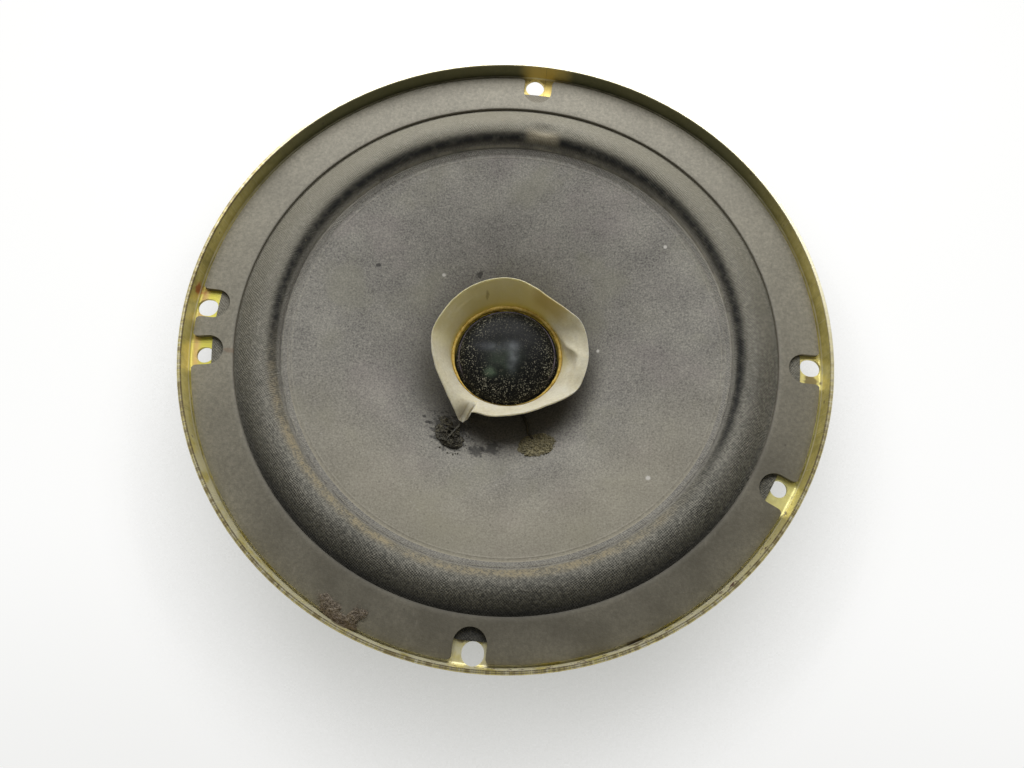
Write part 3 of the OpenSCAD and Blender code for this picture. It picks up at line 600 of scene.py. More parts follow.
def makeConePaper():
    look = paperLook
    newMaterial("conePaper", look, Roughness=0.72, Specular_IOR_Level=0.35)
    ground(mottle(90.0, 2100.0, 0.72))
    patches, near = noiseValue(55.0), fromAxis()
    coat("rose", fade(patches, 0.52, 0.7, 0.0, 0.16))
    coat("olive", fade(patches, 0.32, 0.48, 0.35, 0.0))
    # lighter towards the near side, between 28 and 52 mm out
    coat("dust", towards(275, -0.1, 0.9), fade(near, 0.028, 0.052, 0.0, 0.4))
    coat("sootAndShade", specks(1150.0, 0.34, 0.22), 0.34)
    coat("lint", specks(980.0, 0.3, 0.18, vectorCalc("ADD", bench["place"], (0.3, 0.1, 0)).outputs[0]), 0.22)
    coat("lint", specks(190.0, 0.05, 0.14), 0.7)
    # painted shade round the foot of the whizzer, with soot, heavier to the lower left
    shadeToLowerLeft = times(fade(near, 0.020, 0.036, 0.5, 0.0), towards(225, 0.1, 0.9))
    coat("sootAndShade", greatest(fade(near, 0.018, 0.031, 0.55, 0.0), shadeToLowerLeft))
    for radius in look["ridges"]:
        coat("ring", band(radius, 0.22), 0.3)
    for x, y, z, radius in look["lights"]:
        coat("lint", stain((x, y, z), radius), 0.85)
    for x, y, z, radius in look["darks"]:
        coat("sootAndShade", stain((x, y, z), radius, 2.6), 0.75)
    coat("dust", band(57.6, 1.5), towards(265, 0.0, 0.8), 0.6)
    return seal(mottle(900.0, 3200.0), 0.00014, 0.7)


kraftLook = {"tones": [(0.3, (204, 190, 158)), (0.5, (219, 207, 177)), (0.7, (232, 222, 196))],
             # olive is the painted shade of the far wall, and tucked the painted shade above the crease
             "olive": (206, 192, 140), "yellow": (202, 184, 104), "streak": (110, 98, 60),
             "dirt": (120, 112, 92), "creaseShade": (168, 150, 96),
             "upper": (0.0450, 0.0485), "lower": (0.0434, 0.0448)}


def makeKraft():
    look = kraftLook
    newMaterial("kraftPaper", look, Roughness=0.7, Specular_IOR_Level=0.3, Subsurface_Weight=0.75,
                Subsurface_Scale=0.002, Subsurface_Radius=(1.0, 0.9, 0.66))
    ground(mottle(130.0, 1500.0))
    # painted shade: olive on the far side of the wall, whose inner face looks away from the lamp
    coat("olive", towards(112, 0.2, 0.6), fade(noiseValue(110.0), 0.2, 0.6, 0.6, 1.0), 0.9)
    rise = along(2)
    # painted shade on the wall above the crease on the right
    coat("creaseShade", towards(54, 0.93, 0.99), fade(rise, *look["upper"]), 0.6)
    coat("yellow", fade(rise, *look["lower"], 0.6, 0.0), towards(95, -0.7, 0.2))
    coat("streak", stain((-7.1, 15.6, 48.0), 1.5, 1.4, (2.4, 1, 0.6)), 0.5)
    coat("streak", specks(900.0, 0.3, 0.1), 0.3)
    coat("dirt", stain((-9.8, -20.4, 48.6), 2.2, 1.0), 0.5)      # the torn tip
    return seal(mottle(500.0, 2200.0), 0.0001, 0.5)


# painted reflections on the dome: place and radius in millimetres, stretch and strength
capLook = {"tones": [(0.35, (9, 9, 9)), (0.65, (18, 19, 17))], "dust": (196, 192, 166),
           "ring": (168, 158, 186), "paintedReflection": (152, 155, 162), "green": (128, 150, 122),
           "paintedReflections": (((1.8, -1.6), "paintedReflection", 5.2, (1.9, 0.8, 0), 0.3),
                     ((1.2, 2.2), "paintedReflection", 3.6, (0.8, 1.2, 0), 0.2),
                     ((-3.9, -6.0), "green", 2.6, (0.9, 1, 0), 0.34),
                     ((-3.4, 1.2), "paintedReflection", 5.0, (0.6, 2.0, 0), 0.16),
                     ((-0.5, -2.0), "green", 9.0, (1, 1, 0), 0.1))}


def softSpot(centre, radius, stretch):
    middle = (centre[0] * stretch[0] * mm, centre[1] * stretch[1] * mm, 0)
    away = vectorCalc("DISTANCE", squeeze(stretch), middle).outputs[1]
    return calc("POWER", fade(away, 0.0, radius * mm, 1.0, 0.0), 1.5)


def makeCapBlack():
    look = capLook
    newMaterial("capLacquer", look, Specular_IOR_Level=0.12)
    ground(mottle(150.0, 1500.0))
    cloud = fade(noiseValue(420.0, 4.0), 0.3, 0.7, 0.45, 1.3)
    # painted reflections of the light on the dome, grey-blue and green
    for centre, tone, radius, stretch, strength in look["paintedReflections"]:
        coat(tone, softSpot(centre, radius, stretch), cloud, strength)
    outward = fade(fromAxis(), 0.004, 0.0125, 0.12, 1.0)
    drifts = fade(noiseValue(240.0), 0.35, 0.6, 0.25, 1.0)
    powder = fade(noiseValue(2400.0, 2.0, 0.7), 0.56, 0.66)
    fine = times(powder, outward, drifts, scaleAdd(towards(262, -1.5, 0.6), 0.5, 0.3))
    grains = times(specks(1500.0, 0.24, 0.22), greatest(outward, 0.3), drifts, 0.8)
    dust = greatest(fine, grains, times(specks(800.0, 0.14, 0.14), 0.8))
    coat("dust", dust)
    torn = fade(noiseValue(330.0), 0.35, 0.6, 0.2, 0.9)
    coat("ring", band(13.1, 0.22), torn, towards(90, -0.75, 0.1))
    rough = plus(scaleAdd(noiseValue(260.0), 0.25, 0.32), times(dust, 0.4))
    return seal(plus(noiseValue(900.0), dust), 0.00007, 0.6, Roughness=rough)


def makeSimple(name, tones, coarse, fine, roughness, depth, **constants):
    stops = [(0.32 + 0.36 * i / (len(tones) - 1), tone) for i, tone in enumerate(tones)]
    newMaterial(name, {"tones": stops}, **constants)
    value = mottle(coarse, fine)
    ground(value)
    return seal(value, depth, 0.6, Roughness=scaleAdd(noiseValue(fine * 0.6), 0.24, roughness - 0.12))


plateLook = {"tones": [(0.35, (150, 148, 140)), (0.6, (190, 189, 184))], "stain": (112, 104, 90)}


def makePlateSteel():      # turned steel, with fine rings from the lathe and a few grey stains
    newMaterial("plateSteel", plateLook)
    rings = noiseValue(2600.0, 2.0, over=addNode("ShaderNodeCombineXYZ", {0: fromAxis()}).outputs[0])
    stains = fade(noiseValue(48.0, 5.0, 0.65), 0.54, 0.68)
    ground(mottle(40.0, 600.0, 0.35))
    coat("stain", stains, 0.45)
    metal = less(0.92, times(stains, 0.3))
    return seal(rings, 0.00003, 0.35, Metallic=metal, Roughness=scaleAdd(rings, 0.25, 0.24))


spiderLook = {"pitch": 0.9, "drift": 0.0003, "dark": (128, 92, 44), "light": (196, 160, 96),
              "stain": (104, 80, 48)}


def makeSpiderCloth():      # varnished open cloth, golden brown
    newMaterial("spiderCloth", spiderLook, Roughness=0.55)
    weave = effect(weaveGroup, Pitch=spiderLook["pitch"] * mm, Drift=spiderLook["drift"])
    ground()
    coat("light", fade(weave, 0.15, 0.85))
    coat("stain", fade(mottle(60.0, 900.0, 0.4), 0.45, 0.7, 0.0, 0.4))
    return seal(weave, 0.0002, 0.8)


ferriteLook = {"tones": [(0.35, (52, 52, 54)), (0.65, (78, 78, 80))], "chip": (116, 116, 118)}


def makeFerrite():
    newMaterial("ferrite", ferriteLook)
    ground(mottle(70.0, 1100.0))
    chips = specks(380.0, 0.3, 0.05)
    coat("chip", chips, 0.6)
    rough = scaleAdd(noiseValue(500.0), 0.3, 0.42)
    return seal(less(mottle(400.0, 1800.0), chips), 0.0001, 0.6, Roughness=rough)


tinselLook = {"tones": [(0.35, (120, 74, 42)), (0.5, (186, 126, 76)), (0.65, (214, 168, 118))]}


def makeTinsel():      # copper braid: the strands' own colour changes along the twist
    newMaterial("tinselBraid", tinselLook, Metallic=0.55, Roughness=0.45)
    value = mottle(900.0, 3800.0)
    ground(value)
    return seal(value, 0.00008, 0.7)


wireLook = {"tones": [(0.35, (132, 66, 34)), (0.65, (176, 98, 56))],
            "glued": [(0.35, (36, 33, 30)), (0.65, (70, 66, 58))], "faceStart": (0.036, 0.037)}


def makeWire():      # bare copper in the gap, black with glue on the cone's face
    look = wireLook
    newMaterial("copperWire", look, Specular_IOR_Level=0.4)
    value = mottle(500.0, 2400.0)
    ground(value)
    glued = fade(along(2), *look["faceStart"])
    coat(colourRamp(value, look["glued"]), glued)
    metal = scaleAdd(glued, -0.85, 0.85)
    return seal(value, 0.0001, 0.6, Metallic=metal, Roughness=scaleAdd(glued, 0.25, 0.3))


greyGlueLook = {
    "tones": [(0.32, (34, 32, 29)), (0.5, (66, 63, 54)), (0.68, (124, 118, 96))],
    "patch": [(0.32, (70, 66, 46)), (0.5, (120, 112, 82)), (0.68, (168, 158, 122))],
    "dirt": [(0.32, (92, 82, 68)), (0.5, (122, 110, 94)), (0.68, (150, 138, 120))],
    "brown": (94, 80, 62),
}


def makeGreyGlue():      # dark on the left lump, tan on the right patch, grey-brown where it is the rim's dirt
    look = greyGlueLook
    newMaterial("greyGlue", look, Specular_IOR_Level=0.45)
    value = mottle(520.0, 1900.0, 0.6)
    ground(value)
    coat(colourRamp(value, look["patch"]), fade(along(0), -0.004, 0.004))
    low = times(fade(fromAxis(), 0.0785, 0.0805), 0.8)
    dirt = mixColours(low, colourRamp(value, look["dirt"]), paint(*look["brown"]))
    coat(dirt, fade(along(1), -0.045, -0.055))
    return seal(value, 0.0003, 0.6, Roughness=scaleAdd(value, 0.5, 0.35))


looks = {
    "zinc_steel": makeZinc(),
    "gasket_card": makeCard(),
    "surround_cloth": makeSurroundCloth(),
    "spider_cloth": makeSpiderCloth(),
    "plate_steel": makePlateSteel(),
    "ferrite": makeFerrite(),
    "rivet_steel": makeSimple("rivetSteel", [(150, 148, 142), (196, 194, 188)], 300.0, 1800.0, 0.36, 0.00005,
                              Metallic=0.9),
    "board_paper": makeSimple("boardPaper", [(92, 52, 26), (118, 70, 36), (140, 88, 48)], 220.0, 1500.0, 0.5,
                              0.00006),
    "tinned_brass": makeSimple("tinnedBrass", [(176, 166, 128), (206, 202, 184)], 260.0, 1600.0, 0.32, 0.00004,
                               Metallic=0.9),
    "tinsel": makeTinsel(),
    "cone_paper": makeConePaper(),
    "kraft_paper": makeKraft(),
    "cap_black": makeCapBlack(),
    "black_glue": makeSimple("blackGlue", [(20, 18, 16), (38, 34, 30)], 300.0, 1400.0, 0.3, 0.00012),
    "amber_glue": makeSimple("amberGlue", [(150, 118, 40), (202, 168, 68), (222, 198, 112)], 380.0, 1500.0,
                             0.42, 0.00012),
    "former_foil": makeSimple("formerFoil", [(170, 168, 160), (205, 203, 196)], 160.0, 1500.0, 0.3, 0.00003,
                              Metallic=0.95),
    "copper_wire": makeWire(),
    "grey_glue": makeGreyGlue(),
}
print("materials are mixed:", len(looks))

slotOf = {row["node"]: row["material_slot"] for row in frame["record"]["subparts"]}
for nodeName, node in frame["nodes"].items():
    for holder in node.material_slots:
        holder.material = looks[slotOf[nodeName]]


# Modelling helpers

def letGo():
    if bpy.context.object and bpy.context.object.mode != "OBJECT":
        bpy.ops.object.mode_set(mode="OBJECT")
    bpy.ops.object.select_all(action="DESELECT")


def drawLine(name, points):      # one vertex, pulled out from point to point; the piece stays in edit mode
    letGo()
    bpy.ops.mesh.primitive_plane_add(size=0.001, location=(0, 0, 0))
    piece = bpy.context.object
    piece.name = name
    piece.data.name = name
    bpy.ops.object.mode_set(mode="EDIT")
    bpy.ops.mesh.select_all(action="SELECT")
    bpy.ops.mesh.merge(type="CENTER")
    bpy.ops.transform.translate(value=points[0])
    for start, end in zip(points, points[1:]):
        bpy.ops.mesh.extrude_vertices_move(TRANSFORM_OT_translate={"value": Vector(end) - Vector(start)})
    return piece


def spinProfile(name, profile, steps):      # profile holds (radius, height) in millimetres
    points = [Vector((radius, 0, height)) * mm for radius, height in profile]
    piece = drawLine(name, points + points[:1])
    bpy.ops.mesh.select_all(action="SELECT")
    bpy.ops.mesh.spin(steps=steps, angle=2 * math.pi, center=(0, 0, 0), axis=(0, 0, 1))
    bpy.ops.mesh.select_all(action="SELECT")
    bpy.ops.mesh.remove_doubles(threshold=0.000004)
    bpy.ops.mesh.normals_make_consistent(inside=False)
    bpy.ops.object.mode_set(mode="OBJECT")
    return piece


def reshape(piece, place):      # place turns a vertex's position in millimetres into its new one
    for vertex in piece.data.vertices:
        vertex.co = Vector(place(vertex.co / mm)) * mm
    piece.data.update()


def finishPiece(piece, slotName, body=None, replaced=(), angle=40):
    letGo()
    piece.select_set(True)
    bpy.context.view_layer.objects.active = piece
    bpy.ops.object.shade_smooth_by_angle(angle=math.radians(angle))
    piece.data.materials.clear()
    piece.data.materials.append(looks[slotName])
    if body:
        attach(piece, body)
    if replaced:
        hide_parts(*replaced)


def bendRound(piece):      # bakes the piece's place into its mesh
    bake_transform(piece)


# Heights that the frame gives, in millimetres
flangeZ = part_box("gasket_ring")[0][2] / mm
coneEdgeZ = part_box("cone")[1][2] / mm
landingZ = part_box("spider")[0][2] / mm
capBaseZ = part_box("dust_cap")[0][2] / mm
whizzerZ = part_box("whizzer_cone")[0][2] / mm
neckZ = landingZ + 4      # the cone's neck stands this far above the spider

coneFacts = {"edgeRadius": 58.3, "neckRadius": 13.7, "neckInner": 13.1, "neckDepth": 2, "curve": 1.3,
             "thickness": 0.6, "steps": 360, "edgeRows": 20, "edgeStep": 0.16, "rows": 44,
             "ridges": paperLook["ridges"], "ridgeHeight": 0.1, "ridgeHalf": 0.24, "unevenness": 0.12}


def coneTop(radius):
    reach = coneFacts["edgeRadius"] - coneFacts["neckRadius"]
    share = max(0.0, coneFacts["edgeRadius"] - radius) / reach
    return coneEdgeZ - (coneEdgeZ - neckZ) * share ** coneFacts["curve"]


# Tinsel leads, cords that come first

leadFacts = {"radius": 0.6, "lugX": 12.0, "startY": -51.4, "rise": 1.3, "holeRadius": 26.2, "holeDepth": 1.3,
             "angles": {"positive": 292, "negative": 242}, "lobes": 5, "turns": 13, "sides": 30, "perSpan": 24}


def leadRoute(side, degrees):
    x0, y0, z0 = side * leadFacts["lugX"], leadFacts["startY"], landingZ + leadFacts["rise"]
    hole = leadFacts["holeRadius"]
    end = polar(hole, degrees, coneTop(hole) - coneFacts["thickness"] - leadFacts["holeDepth"])
    controls = [Vector((x0, y0, z0 + 0.05)), Vector((x0, y0, z0 + 3.6)), Vector((x0, y0 + 3.4, z0 + 7)),
                Vector(((x0 + end.x) / 2, (y0 + end.y) / 2, z0 + 7.6)), Vector((end.x, end.y - 4.5, z0 + 5.2)),
                Vector((end.x, end.y - 0.6, end.z - 2.6)), end]
    return catmull(controls, leadFacts["perSpan"])


def tubeMesh(name, line, sides, radiusAt):      # radiusAt gives the radius at step i of the line and side k
    points = []
    across = Vector((1, 0, 0)) if abs((line[1] - line[0]).normalized().x) < 0.9 else Vector((0, 1, 0))
    for i, centre in enumerate(line):
        onward = (line[min(len(line) - 1, i + 1)] - line[max(0, i - 1)]).normalized()
        across = (across - onward * across.dot(onward)).normalized()
        up = onward.cross(across)
        for k in range(sides):
            turn = 2 * math.pi * k / sides
            outward = across * math.cos(turn) + up * math.sin(turn)
            points.append((centre + outward * radiusAt(i, k)) * mm)
    count = len(line)
    faces = []
    for i in range(count - 1):
        for k in range(sides):
            here, beside = i * sides + k, i * sides + (k + 1) % sides
            faces.append([here, beside, beside + sides, here + sides])
    faces.append(list(range(sides - 1, -1, -1)))
    faces.append([(count - 1) * sides + k for k in range(sides)])
    mesh = bpy.data.meshes.new(name)
    mesh.from_pydata([tuple(point) for point in points], [], faces)
    mesh.update()
    piece = bpy.data.objects.new(name, mesh)
    bpy.context.collection.objects.link(piece)
    return piece


def makeLead(name, side, degrees, node):
    line = leadRoute(side, degrees)
    sides = leadFacts["sides"]

    def strand(i, k):
        twist = 2 * math.pi * leadFacts["turns"] * i / (len(line) - 1)
        groove = abs(math.sin(leadFacts["lobes"] * (2 * math.pi * k / sides - twist) / 2)) ** 0.6
        return leadFacts["radius"] * (0.8 + 0.2 * groove)

    piece = tubeMesh(name, line, sides, strand)
    finishPiece(piece, "tinsel", replaced=(node,), angle=60)
    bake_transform(piece)


makeLead("tinselLeadPositive", 1, leadFacts["angles"]["positive"], "tinsel_lead_positive")
makeLead("tinselLeadNegative", -1, leadFacts["angles"]["negative"], "tinsel_lead_negative")


# Card gasket with its screw notches

gasketFacts = {"outer": 80.3, "inner": 69.8, "clothEdge": 75.6, "clothThickness": 0.35, "thickness": 0.9,
               "gap": 0.02, "bevel": 0.16, "rows": 8, "steps": 240,
               "notches": (0, 90, 180, 189.7, 270, 335), "turn": -0.65,      # degrees
               "notchRadius": 3.95, "notchCentre": 76.3, "corner": 1.4, "cutDepth": 6, "cutOver": 2,
               "wave": 0.10, "tongueAngle": 184.5, "tongueHalf": 3, "tongueLift": 0.12}


def notchCutter(name, degrees):
    facts = gasketFacts
    r, c, corner, edge = facts["notchRadius"], facts["notchCentre"], facts["corner"], facts["outer"]
    outline = [(c + r * math.cos(math.radians(a)), r * math.sin(math.radians(a))) for a in range(90, 271, 9)]
    wallEnd = edge - corner
    outline += [(wallEnd + corner * math.sin(math.radians(a)), -r - corner + corner * math.cos(math.radians(a)))
                for a in range(0, 91, 15)]
    beyond = edge + facts["cutOver"]
    outline += [(beyond, -r - corner), (beyond, r + corner)]
    outline += [(wallEnd + corner * math.sin(math.radians(a)), r + corner - corner * math.cos(math.radians(a)))
                for a in range(90, -1, -15)]
    turn = Matrix.Rotation(math.radians(degrees), 3, "Z")
    points = [turn @ Vector((x, y, flangeZ - facts["cutOver"])) * mm for x, y in outline]
    piece = drawLine(name, points + points[:1])
    bpy.ops.mesh.select_all(action="SELECT")
    bpy.ops.mesh.remove_doubles(threshold=0.000002)
    bpy.ops.mesh.edge_face_add()
    bpy.ops.mesh.extrude_region_move(TRANSFORM_OT_translate={"value": (0, 0, facts["cutDepth"] * mm)})
    bpy.ops.mesh.select_all(action="SELECT")
    bpy.ops.mesh.normals_make_consistent(inside=False)
    bpy.ops.object.mode_set(mode="OBJECT")
    return piece


def makeGasket():
    facts = gasketFacts
    outer, inner, cloth, gap = facts["outer"], facts["inner"], facts["clothEdge"], facts["gap"]
    top = flangeZ + facts["clothThickness"] + facts["thickness"]
    under = flangeZ + facts["clothThickness"]
    b, rows = facts["bevel"], facts["rows"]
    across = [outer - b - (outer - inner - 2 * b) * k / rows for k in range(rows + 1)]
    profile = [(outer, flangeZ + gap), (outer, top - b), (outer - b * 0.3, top - b * 0.3)]
    profile += [(radius, top) for radius in across]
    profile += [(inner + b * 0.3, top - b * 0.3), (inner, top - b), (inner, under + gap), (cloth, under + gap),
                (cloth + 0.05, flangeZ + gap)]
    card = spinProfile("gasketCard", profile, facts["steps"])
    for angle in facts["notches"]:
        cutter = notchCutter("notchCutter", angle + facts["turn"])
        letGo()
        bpy.context.view_layer.objects.active = card
        cut = card.modifiers.new("notch", "BOOLEAN")
        cut.operation = "DIFFERENCE"
        cut.solver = "EXACT"
        cut.object = cutter
        bpy.ops.object.modifier_apply(modifier=cut.name)
        bpy.data.objects.remove(cutter)

    def settle(point):      # the card lies a little wavy, and lifts at the tongue between two notches
        if point.z < under + 0.3:
            return point
        tongue = bump(turnBetween(angleOf(point), facts["tongueAngle"]), 0, facts["tongueHalf"])
        lift = facts["tongueLift"] * tongue * smooth(75, 80, radiusOf(point))
        return lifted(point, facts["wave"] * waves(point, 3, 0.06) + lift)

    reshape(card, settle)
    finishPiece(card, "gasket_card", "frame", ("gasket_ring",), 35)


makeGasket()
print("gasket is cut")


# Cloth surround

surroundFacts = {"rimOuter": 75.5, "rimBend": 72.0, "rollOuter": 69.7, "rollInner": 58.9, "innerRim": 57.0,
                 "footOver": ((58.5, -0.05), (57.9, -0.2)), "footUnder": (58.2, 58.6),
                 "drop": 1.4, "height": 3.5, "thickness": 0.35, "rollSteps": 40, "steps": 360,
                 "crownShare": 0.34, "innerPower": 0.75, "outerPower": 1.05,
                 "dentAngle": 86.5, "dentHalf": 5.5, "dentRadius": 62.3, "dentReach": 2.6, "dentDepth": 0.9,
                 "sway": 0.22, "crumple": 0.05}


def makeSurround():
    facts = surroundFacts
    inner, outer, thickness = facts["rollInner"], facts["rollOuter"], facts["thickness"]
    rise = facts["height"] + facts["drop"] / 2
    bottomZ = flangeZ - facts["drop"]
    skew = math.log(0.5) / math.log(facts["crownShare"])

    def rollTop(share):      # share runs from the inner foot to the outer one; the inner side is the steep one
        swell = math.sin(math.pi * share ** skew) if 0 < share < 1 else 0.0
        power = facts["innerPower"] if share < facts["crownShare"] else facts["outerPower"]
        return (inner + (outer - inner) * share,
                bottomZ + (facts["drop"] + thickness) * share + rise * max(0.0, swell) ** power)

    steps = facts["rollSteps"]
    over = [rollTop((1 + math.cos(math.pi * i / steps)) / 2) for i in range(steps + 1)]
    under = []
    for (r0, z0), (r1, z1), (r2, z2) in zip(over, over[1:], over[2:]):
        slope = math.hypot(r2 - r0, z2 - z0)
        depth = (r0 - r2) / slope * thickness
        under.append((r1 + (z2 - z0) / slope * thickness, max(bottomZ - thickness, z1 - depth)))
    rim, bend, edge = facts["innerRim"], facts["rimBend"], facts["rimOuter"]
    foot, toe = facts["footUnder"]
    upper = [(edge, flangeZ + thickness), (bend, flangeZ + thickness)] + over
    upper += [(radius, bottomZ + lift) for radius, lift in facts["footOver"]]
    upper += [(rim + 0.3, coneTop(rim + 0.3) + 0.24), (rim, coneTop(rim) + 0.14)]
    lower = [(rim, coneTop(rim) + 0.03), (foot, coneTop(foot) + 0.04), (toe, bottomZ - thickness)]
    lower += under[::-1] + [(outer, flangeZ), (bend, flangeZ), (edge, flangeZ)]
    cloth = spinProfile("surroundCloth", upper + lower, facts["steps"])
    middle, half = (outer + inner) / 2, (outer - inner) / 2

    def relax(point):      # the roll is slightly uneven, and pushed flatter at one place at the top
        radius = radiusOf(point)
        onRoll = bump(radius, middle, half)
        if onRoll <= 0:
            return point
        lift = (facts["sway"] * waves(point, 0, 0.05) + facts["crumple"] * waves(point, 9, 0.35)) * onRoll
        pushed = bump(turnBetween(angleOf(point), facts["dentAngle"]), 0, facts["dentHalf"])
        dent = facts["dentDepth"] * bump(radius, facts["dentRadius"], facts["dentReach"])
        return lifted(point, lift - dent * pushed)

    reshape(cloth, relax)
    finishPiece(cloth, "surround_cloth", None, ("surround",), 50)
    bendRound(cloth)


makeSurround()
print("surround is rolled")


# Corrugated spider

spiderFacts = {"inner": 13.25, "outer": 47.4, "seat": 4.4, "waves": 6, "waveHeight": 2.2, "thickness": 0.4,
               "collar": 0.4, "collarHeight": 0.9, "perWave": 14, "steps": 240}


def makeSpider():
    facts = spiderFacts
    outer, inner, thickness = facts["outer"], facts["inner"], facts["thickness"]
    waveOuter = outer - facts["seat"]
    steps = facts["waves"] * facts["perWave"]
    under = []
    for i in range(steps + 1):
        share = i / steps
        swell = (1 - math.cos(2 * math.pi * facts["waves"] * share)) / 2
        under.append((waveOuter + (inner + 1 - waveOuter) * share, landingZ + facts["waveHeight"] * swell))
    over = [(radius, height + thickness) for radius, height in under]
    collarZ = landingZ + facts["collarHeight"]
    profile = [(outer, landingZ), (outer, landingZ + thickness)] + over
    profile += [(inner + facts["collar"], collarZ), (inner, collarZ), (inner, landingZ)] + under[::-1]
    disc = spinProfile("spiderCloth", profile, facts["steps"])
    finishPiece(disc, "spider_cloth", None, ("spider",), 50)
    bendRound(disc)


makeSpider()
print("spider is pressed")


# Paper cone

def makeCone():
    facts = coneFacts
    outer, neck, inner = facts["edgeRadius"], facts["neckRadius"], facts["neckInner"]
    thickness, rows, underZ = facts["thickness"], facts["rows"], neckZ - facts["neckDepth"]
    radii = [outer - facts["edgeStep"] * k for k in range(facts["edgeRows"])]
    radii += [radii[-1] + (neck - radii[-1]) * (k + 1) / rows for k in range(rows)]

    def pressed(radius):      # two fine ridges run round just inside the cloth
        return sum(facts["ridgeHeight"] * bump(radius, ridge, facts["ridgeHalf"]) for ridge in facts["ridges"])

    top = [(radius, coneTop(radius) + pressed(radius)) for radius in radii]
    back = [(radius, coneTop(radius) - thickness) for radius in radii[::-3]]
    profile = top + [(inner, neckZ), (inner, underZ), (neck, underZ)] + back
    paper = spinProfile("conePaper", profile, facts["steps"])

    def uneven(point):
        loose = smooth(14, 22, radiusOf(point)) * (1 - smooth(52, 56, radiusOf(point)))
        return lifted(point, facts["unevenness"] * loose * waves(point, 7, 0.09))

    reshape(paper, uneven)
    finishPiece(paper, "cone_paper", "moving_cone", ("cone",), 40)


makeCone()
print("cone is pressed")


# Kraft whizzer, dented on the right and torn at the lower left

whizzerFacts = {
    "thickness": 0.4, "base": 14.3, "throat": 15.2, "throatRise": 5.4, "flare": 9.0, "rows": 24, "steps": 600,
    "leans": (-30, 100), "trials": 24,      # the leans at the rim that are tried
    "ragged": 0.03,                         # fine noise of the cut edge
    "rim": [(0, 22.0), (9, 22.0), (21, 21.8), (29, 21.3), (38, 19.4), (54, 17.9), (72, 18.5), (87, 19.8),
            (100, 20.4), (130, 20.1), (153, 19.9), (171, 20.4), (181, 20.1), (196, 19.6), (214, 19.6),
            (227, 20.4), (236, 21.6), (244.5, 22.7), (247.5, 20.2), (262, 19.5), (274, 19.0), (287, 18.8),
            (307, 19.1), (322, 20.4), (335, 21.7), (346, 21.8)],
    "tear": 246.4, "tearWidth": 1.5, "tearDepth": 1.8, "tornFrom": 230, "tornTo": 262,
    "tuckAngle": 268, "tuckHalf": 95, "tuck": 1.0,
    "flapFrom": -45, "flapTo": 62, "kink": 50,      # the flap folded down on the right
    "foldHalf": 0.07, "foldShare": 0.7, "leanStart": 0.3, "leanGain": 1.1,
    "creaseStart": 57, "creaseTurn": 29, "creaseHalf": 11, "flapFade": (-38, -6),
    "foldPlace": [(-40, 0.7), (0, 0.7), (4, 0.62), (13, 0.34), (25, 0.17), (50, 0.05), (320, 0.7)],
    "dimpleAngle": 357, "dimpleHalf": 15, "dimpleDepth": 0.6, "dimpleShare": 0.36, "dimpleReach": 0.3,
    "crumple": 0.12,
}
wallLines = {}      # each direction's wall, once it is worked out


def tuckedIn(degrees):      # the throat is pressed inwards on the near side
    facts = whizzerFacts
    return facts["tuck"] * bump(turnBetween(degrees, facts["tuckAngle"]), 0, facts["tuckHalf"])


def plainLean(share, end):
    facts = whizzerFacts
    start = math.atan2(facts["throat"] - facts["base"], facts["throatRise"])
    return start + (end - start) * min(1.0, facts["leanStart"] + facts["leanGain"] * share)


def foldedLean(foldAt):      # steep up to the fold, then nearly level
    kink, half, level = math.radians(whizzerFacts["kink"]), whizzerFacts["foldHalf"], whizzerFacts["foldShare"]
    return lambda share, end: end + kink * (smooth(foldAt - half, foldAt + half, share) - level)


def reachRim(leanAt, first, length, target):      # bends a wall of one length until its rim is at the target
    rows = whizzerFacts["rows"]

    def line(end):
        radius, height, points = first, whizzerZ + whizzerFacts["throatRise"], []
        for k in range(rows + 1):
            lean = leanAt(k / rows, end)
            points.append((radius, height, lean))
            radius += length / rows * math.sin(lean)
            height += length / rows * math.cos(lean)
        return points

    low, high = map(math.radians, whizzerFacts["leans"])
    for _ in range(whizzerFacts["trials"]):
        middle = (low + high) / 2
        if line(middle)[-1][0] < target:
            low = middle
        else:
            high = middle
    return line((low + high) / 2)


def blendWalls(first, second, weightAt):      # row by row, weightAt(row) of the way to the second wall
    return [tuple(u + (v - u) * weightAt(k) for u, v in zip(a, b))
            for k, (a, b) in enumerate(zip(first, second))]


def wallLine(degrees):      # radius, height and lean of the wall at each row, from the throat to the rim
    facts = whizzerFacts
    rim, rows = facts["rim"], facts["rows"]
    key = round(degrees, 2)
    if key in wallLines:
        return wallLines[key]
    turn = (degrees + 180) % 360 - 180
    near = turnBetween(degrees, facts["tear"])
    length = facts["flare"] - facts["tearDepth"] * max(0.0, 1 - near / facts["tearWidth"]) ** 0.7
    length += facts["ragged"] * noise.noise(polar(4, degrees))
    target = alongRing(rim, degrees) + facts["ragged"] * noise.noise(polar(9, degrees, 4))
    first = facts["throat"] - tuckedIn(degrees)
    plain = reachRim(plainLean, first, length, target)
    low, high = facts["tornFrom"], facts["tornTo"]
    if low < degrees < high:      # below the tear the wall runs on evenly
        calm = alongRing(rim, low) + smooth(low, high, degrees) * (alongRing(rim, high) - alongRing(rim, low))
        even = reachRim(plainLean, first, facts["flare"], calm)
        plain = blendWalls(even, plain, lambda k: smooth(0.35, 0.9, k / rows))
    if facts["flapFrom"] < turn < facts["flapTo"]:
        foldAt = max(0.05, alongRing(facts["foldPlace"], degrees))
        folded = reachRim(foldedLean(foldAt), first, length, target)

        def flapped(k):
            crease = facts["creaseStart"] - facts["creaseTurn"] * k / rows
            return min(1.0, max(0.0, (crease - turn) / facts["creaseHalf"])) * smooth(*facts["flapFade"], turn)

        plain = blendWalls(plain, folded, flapped)
    wallLines[key] = plain
    return plain


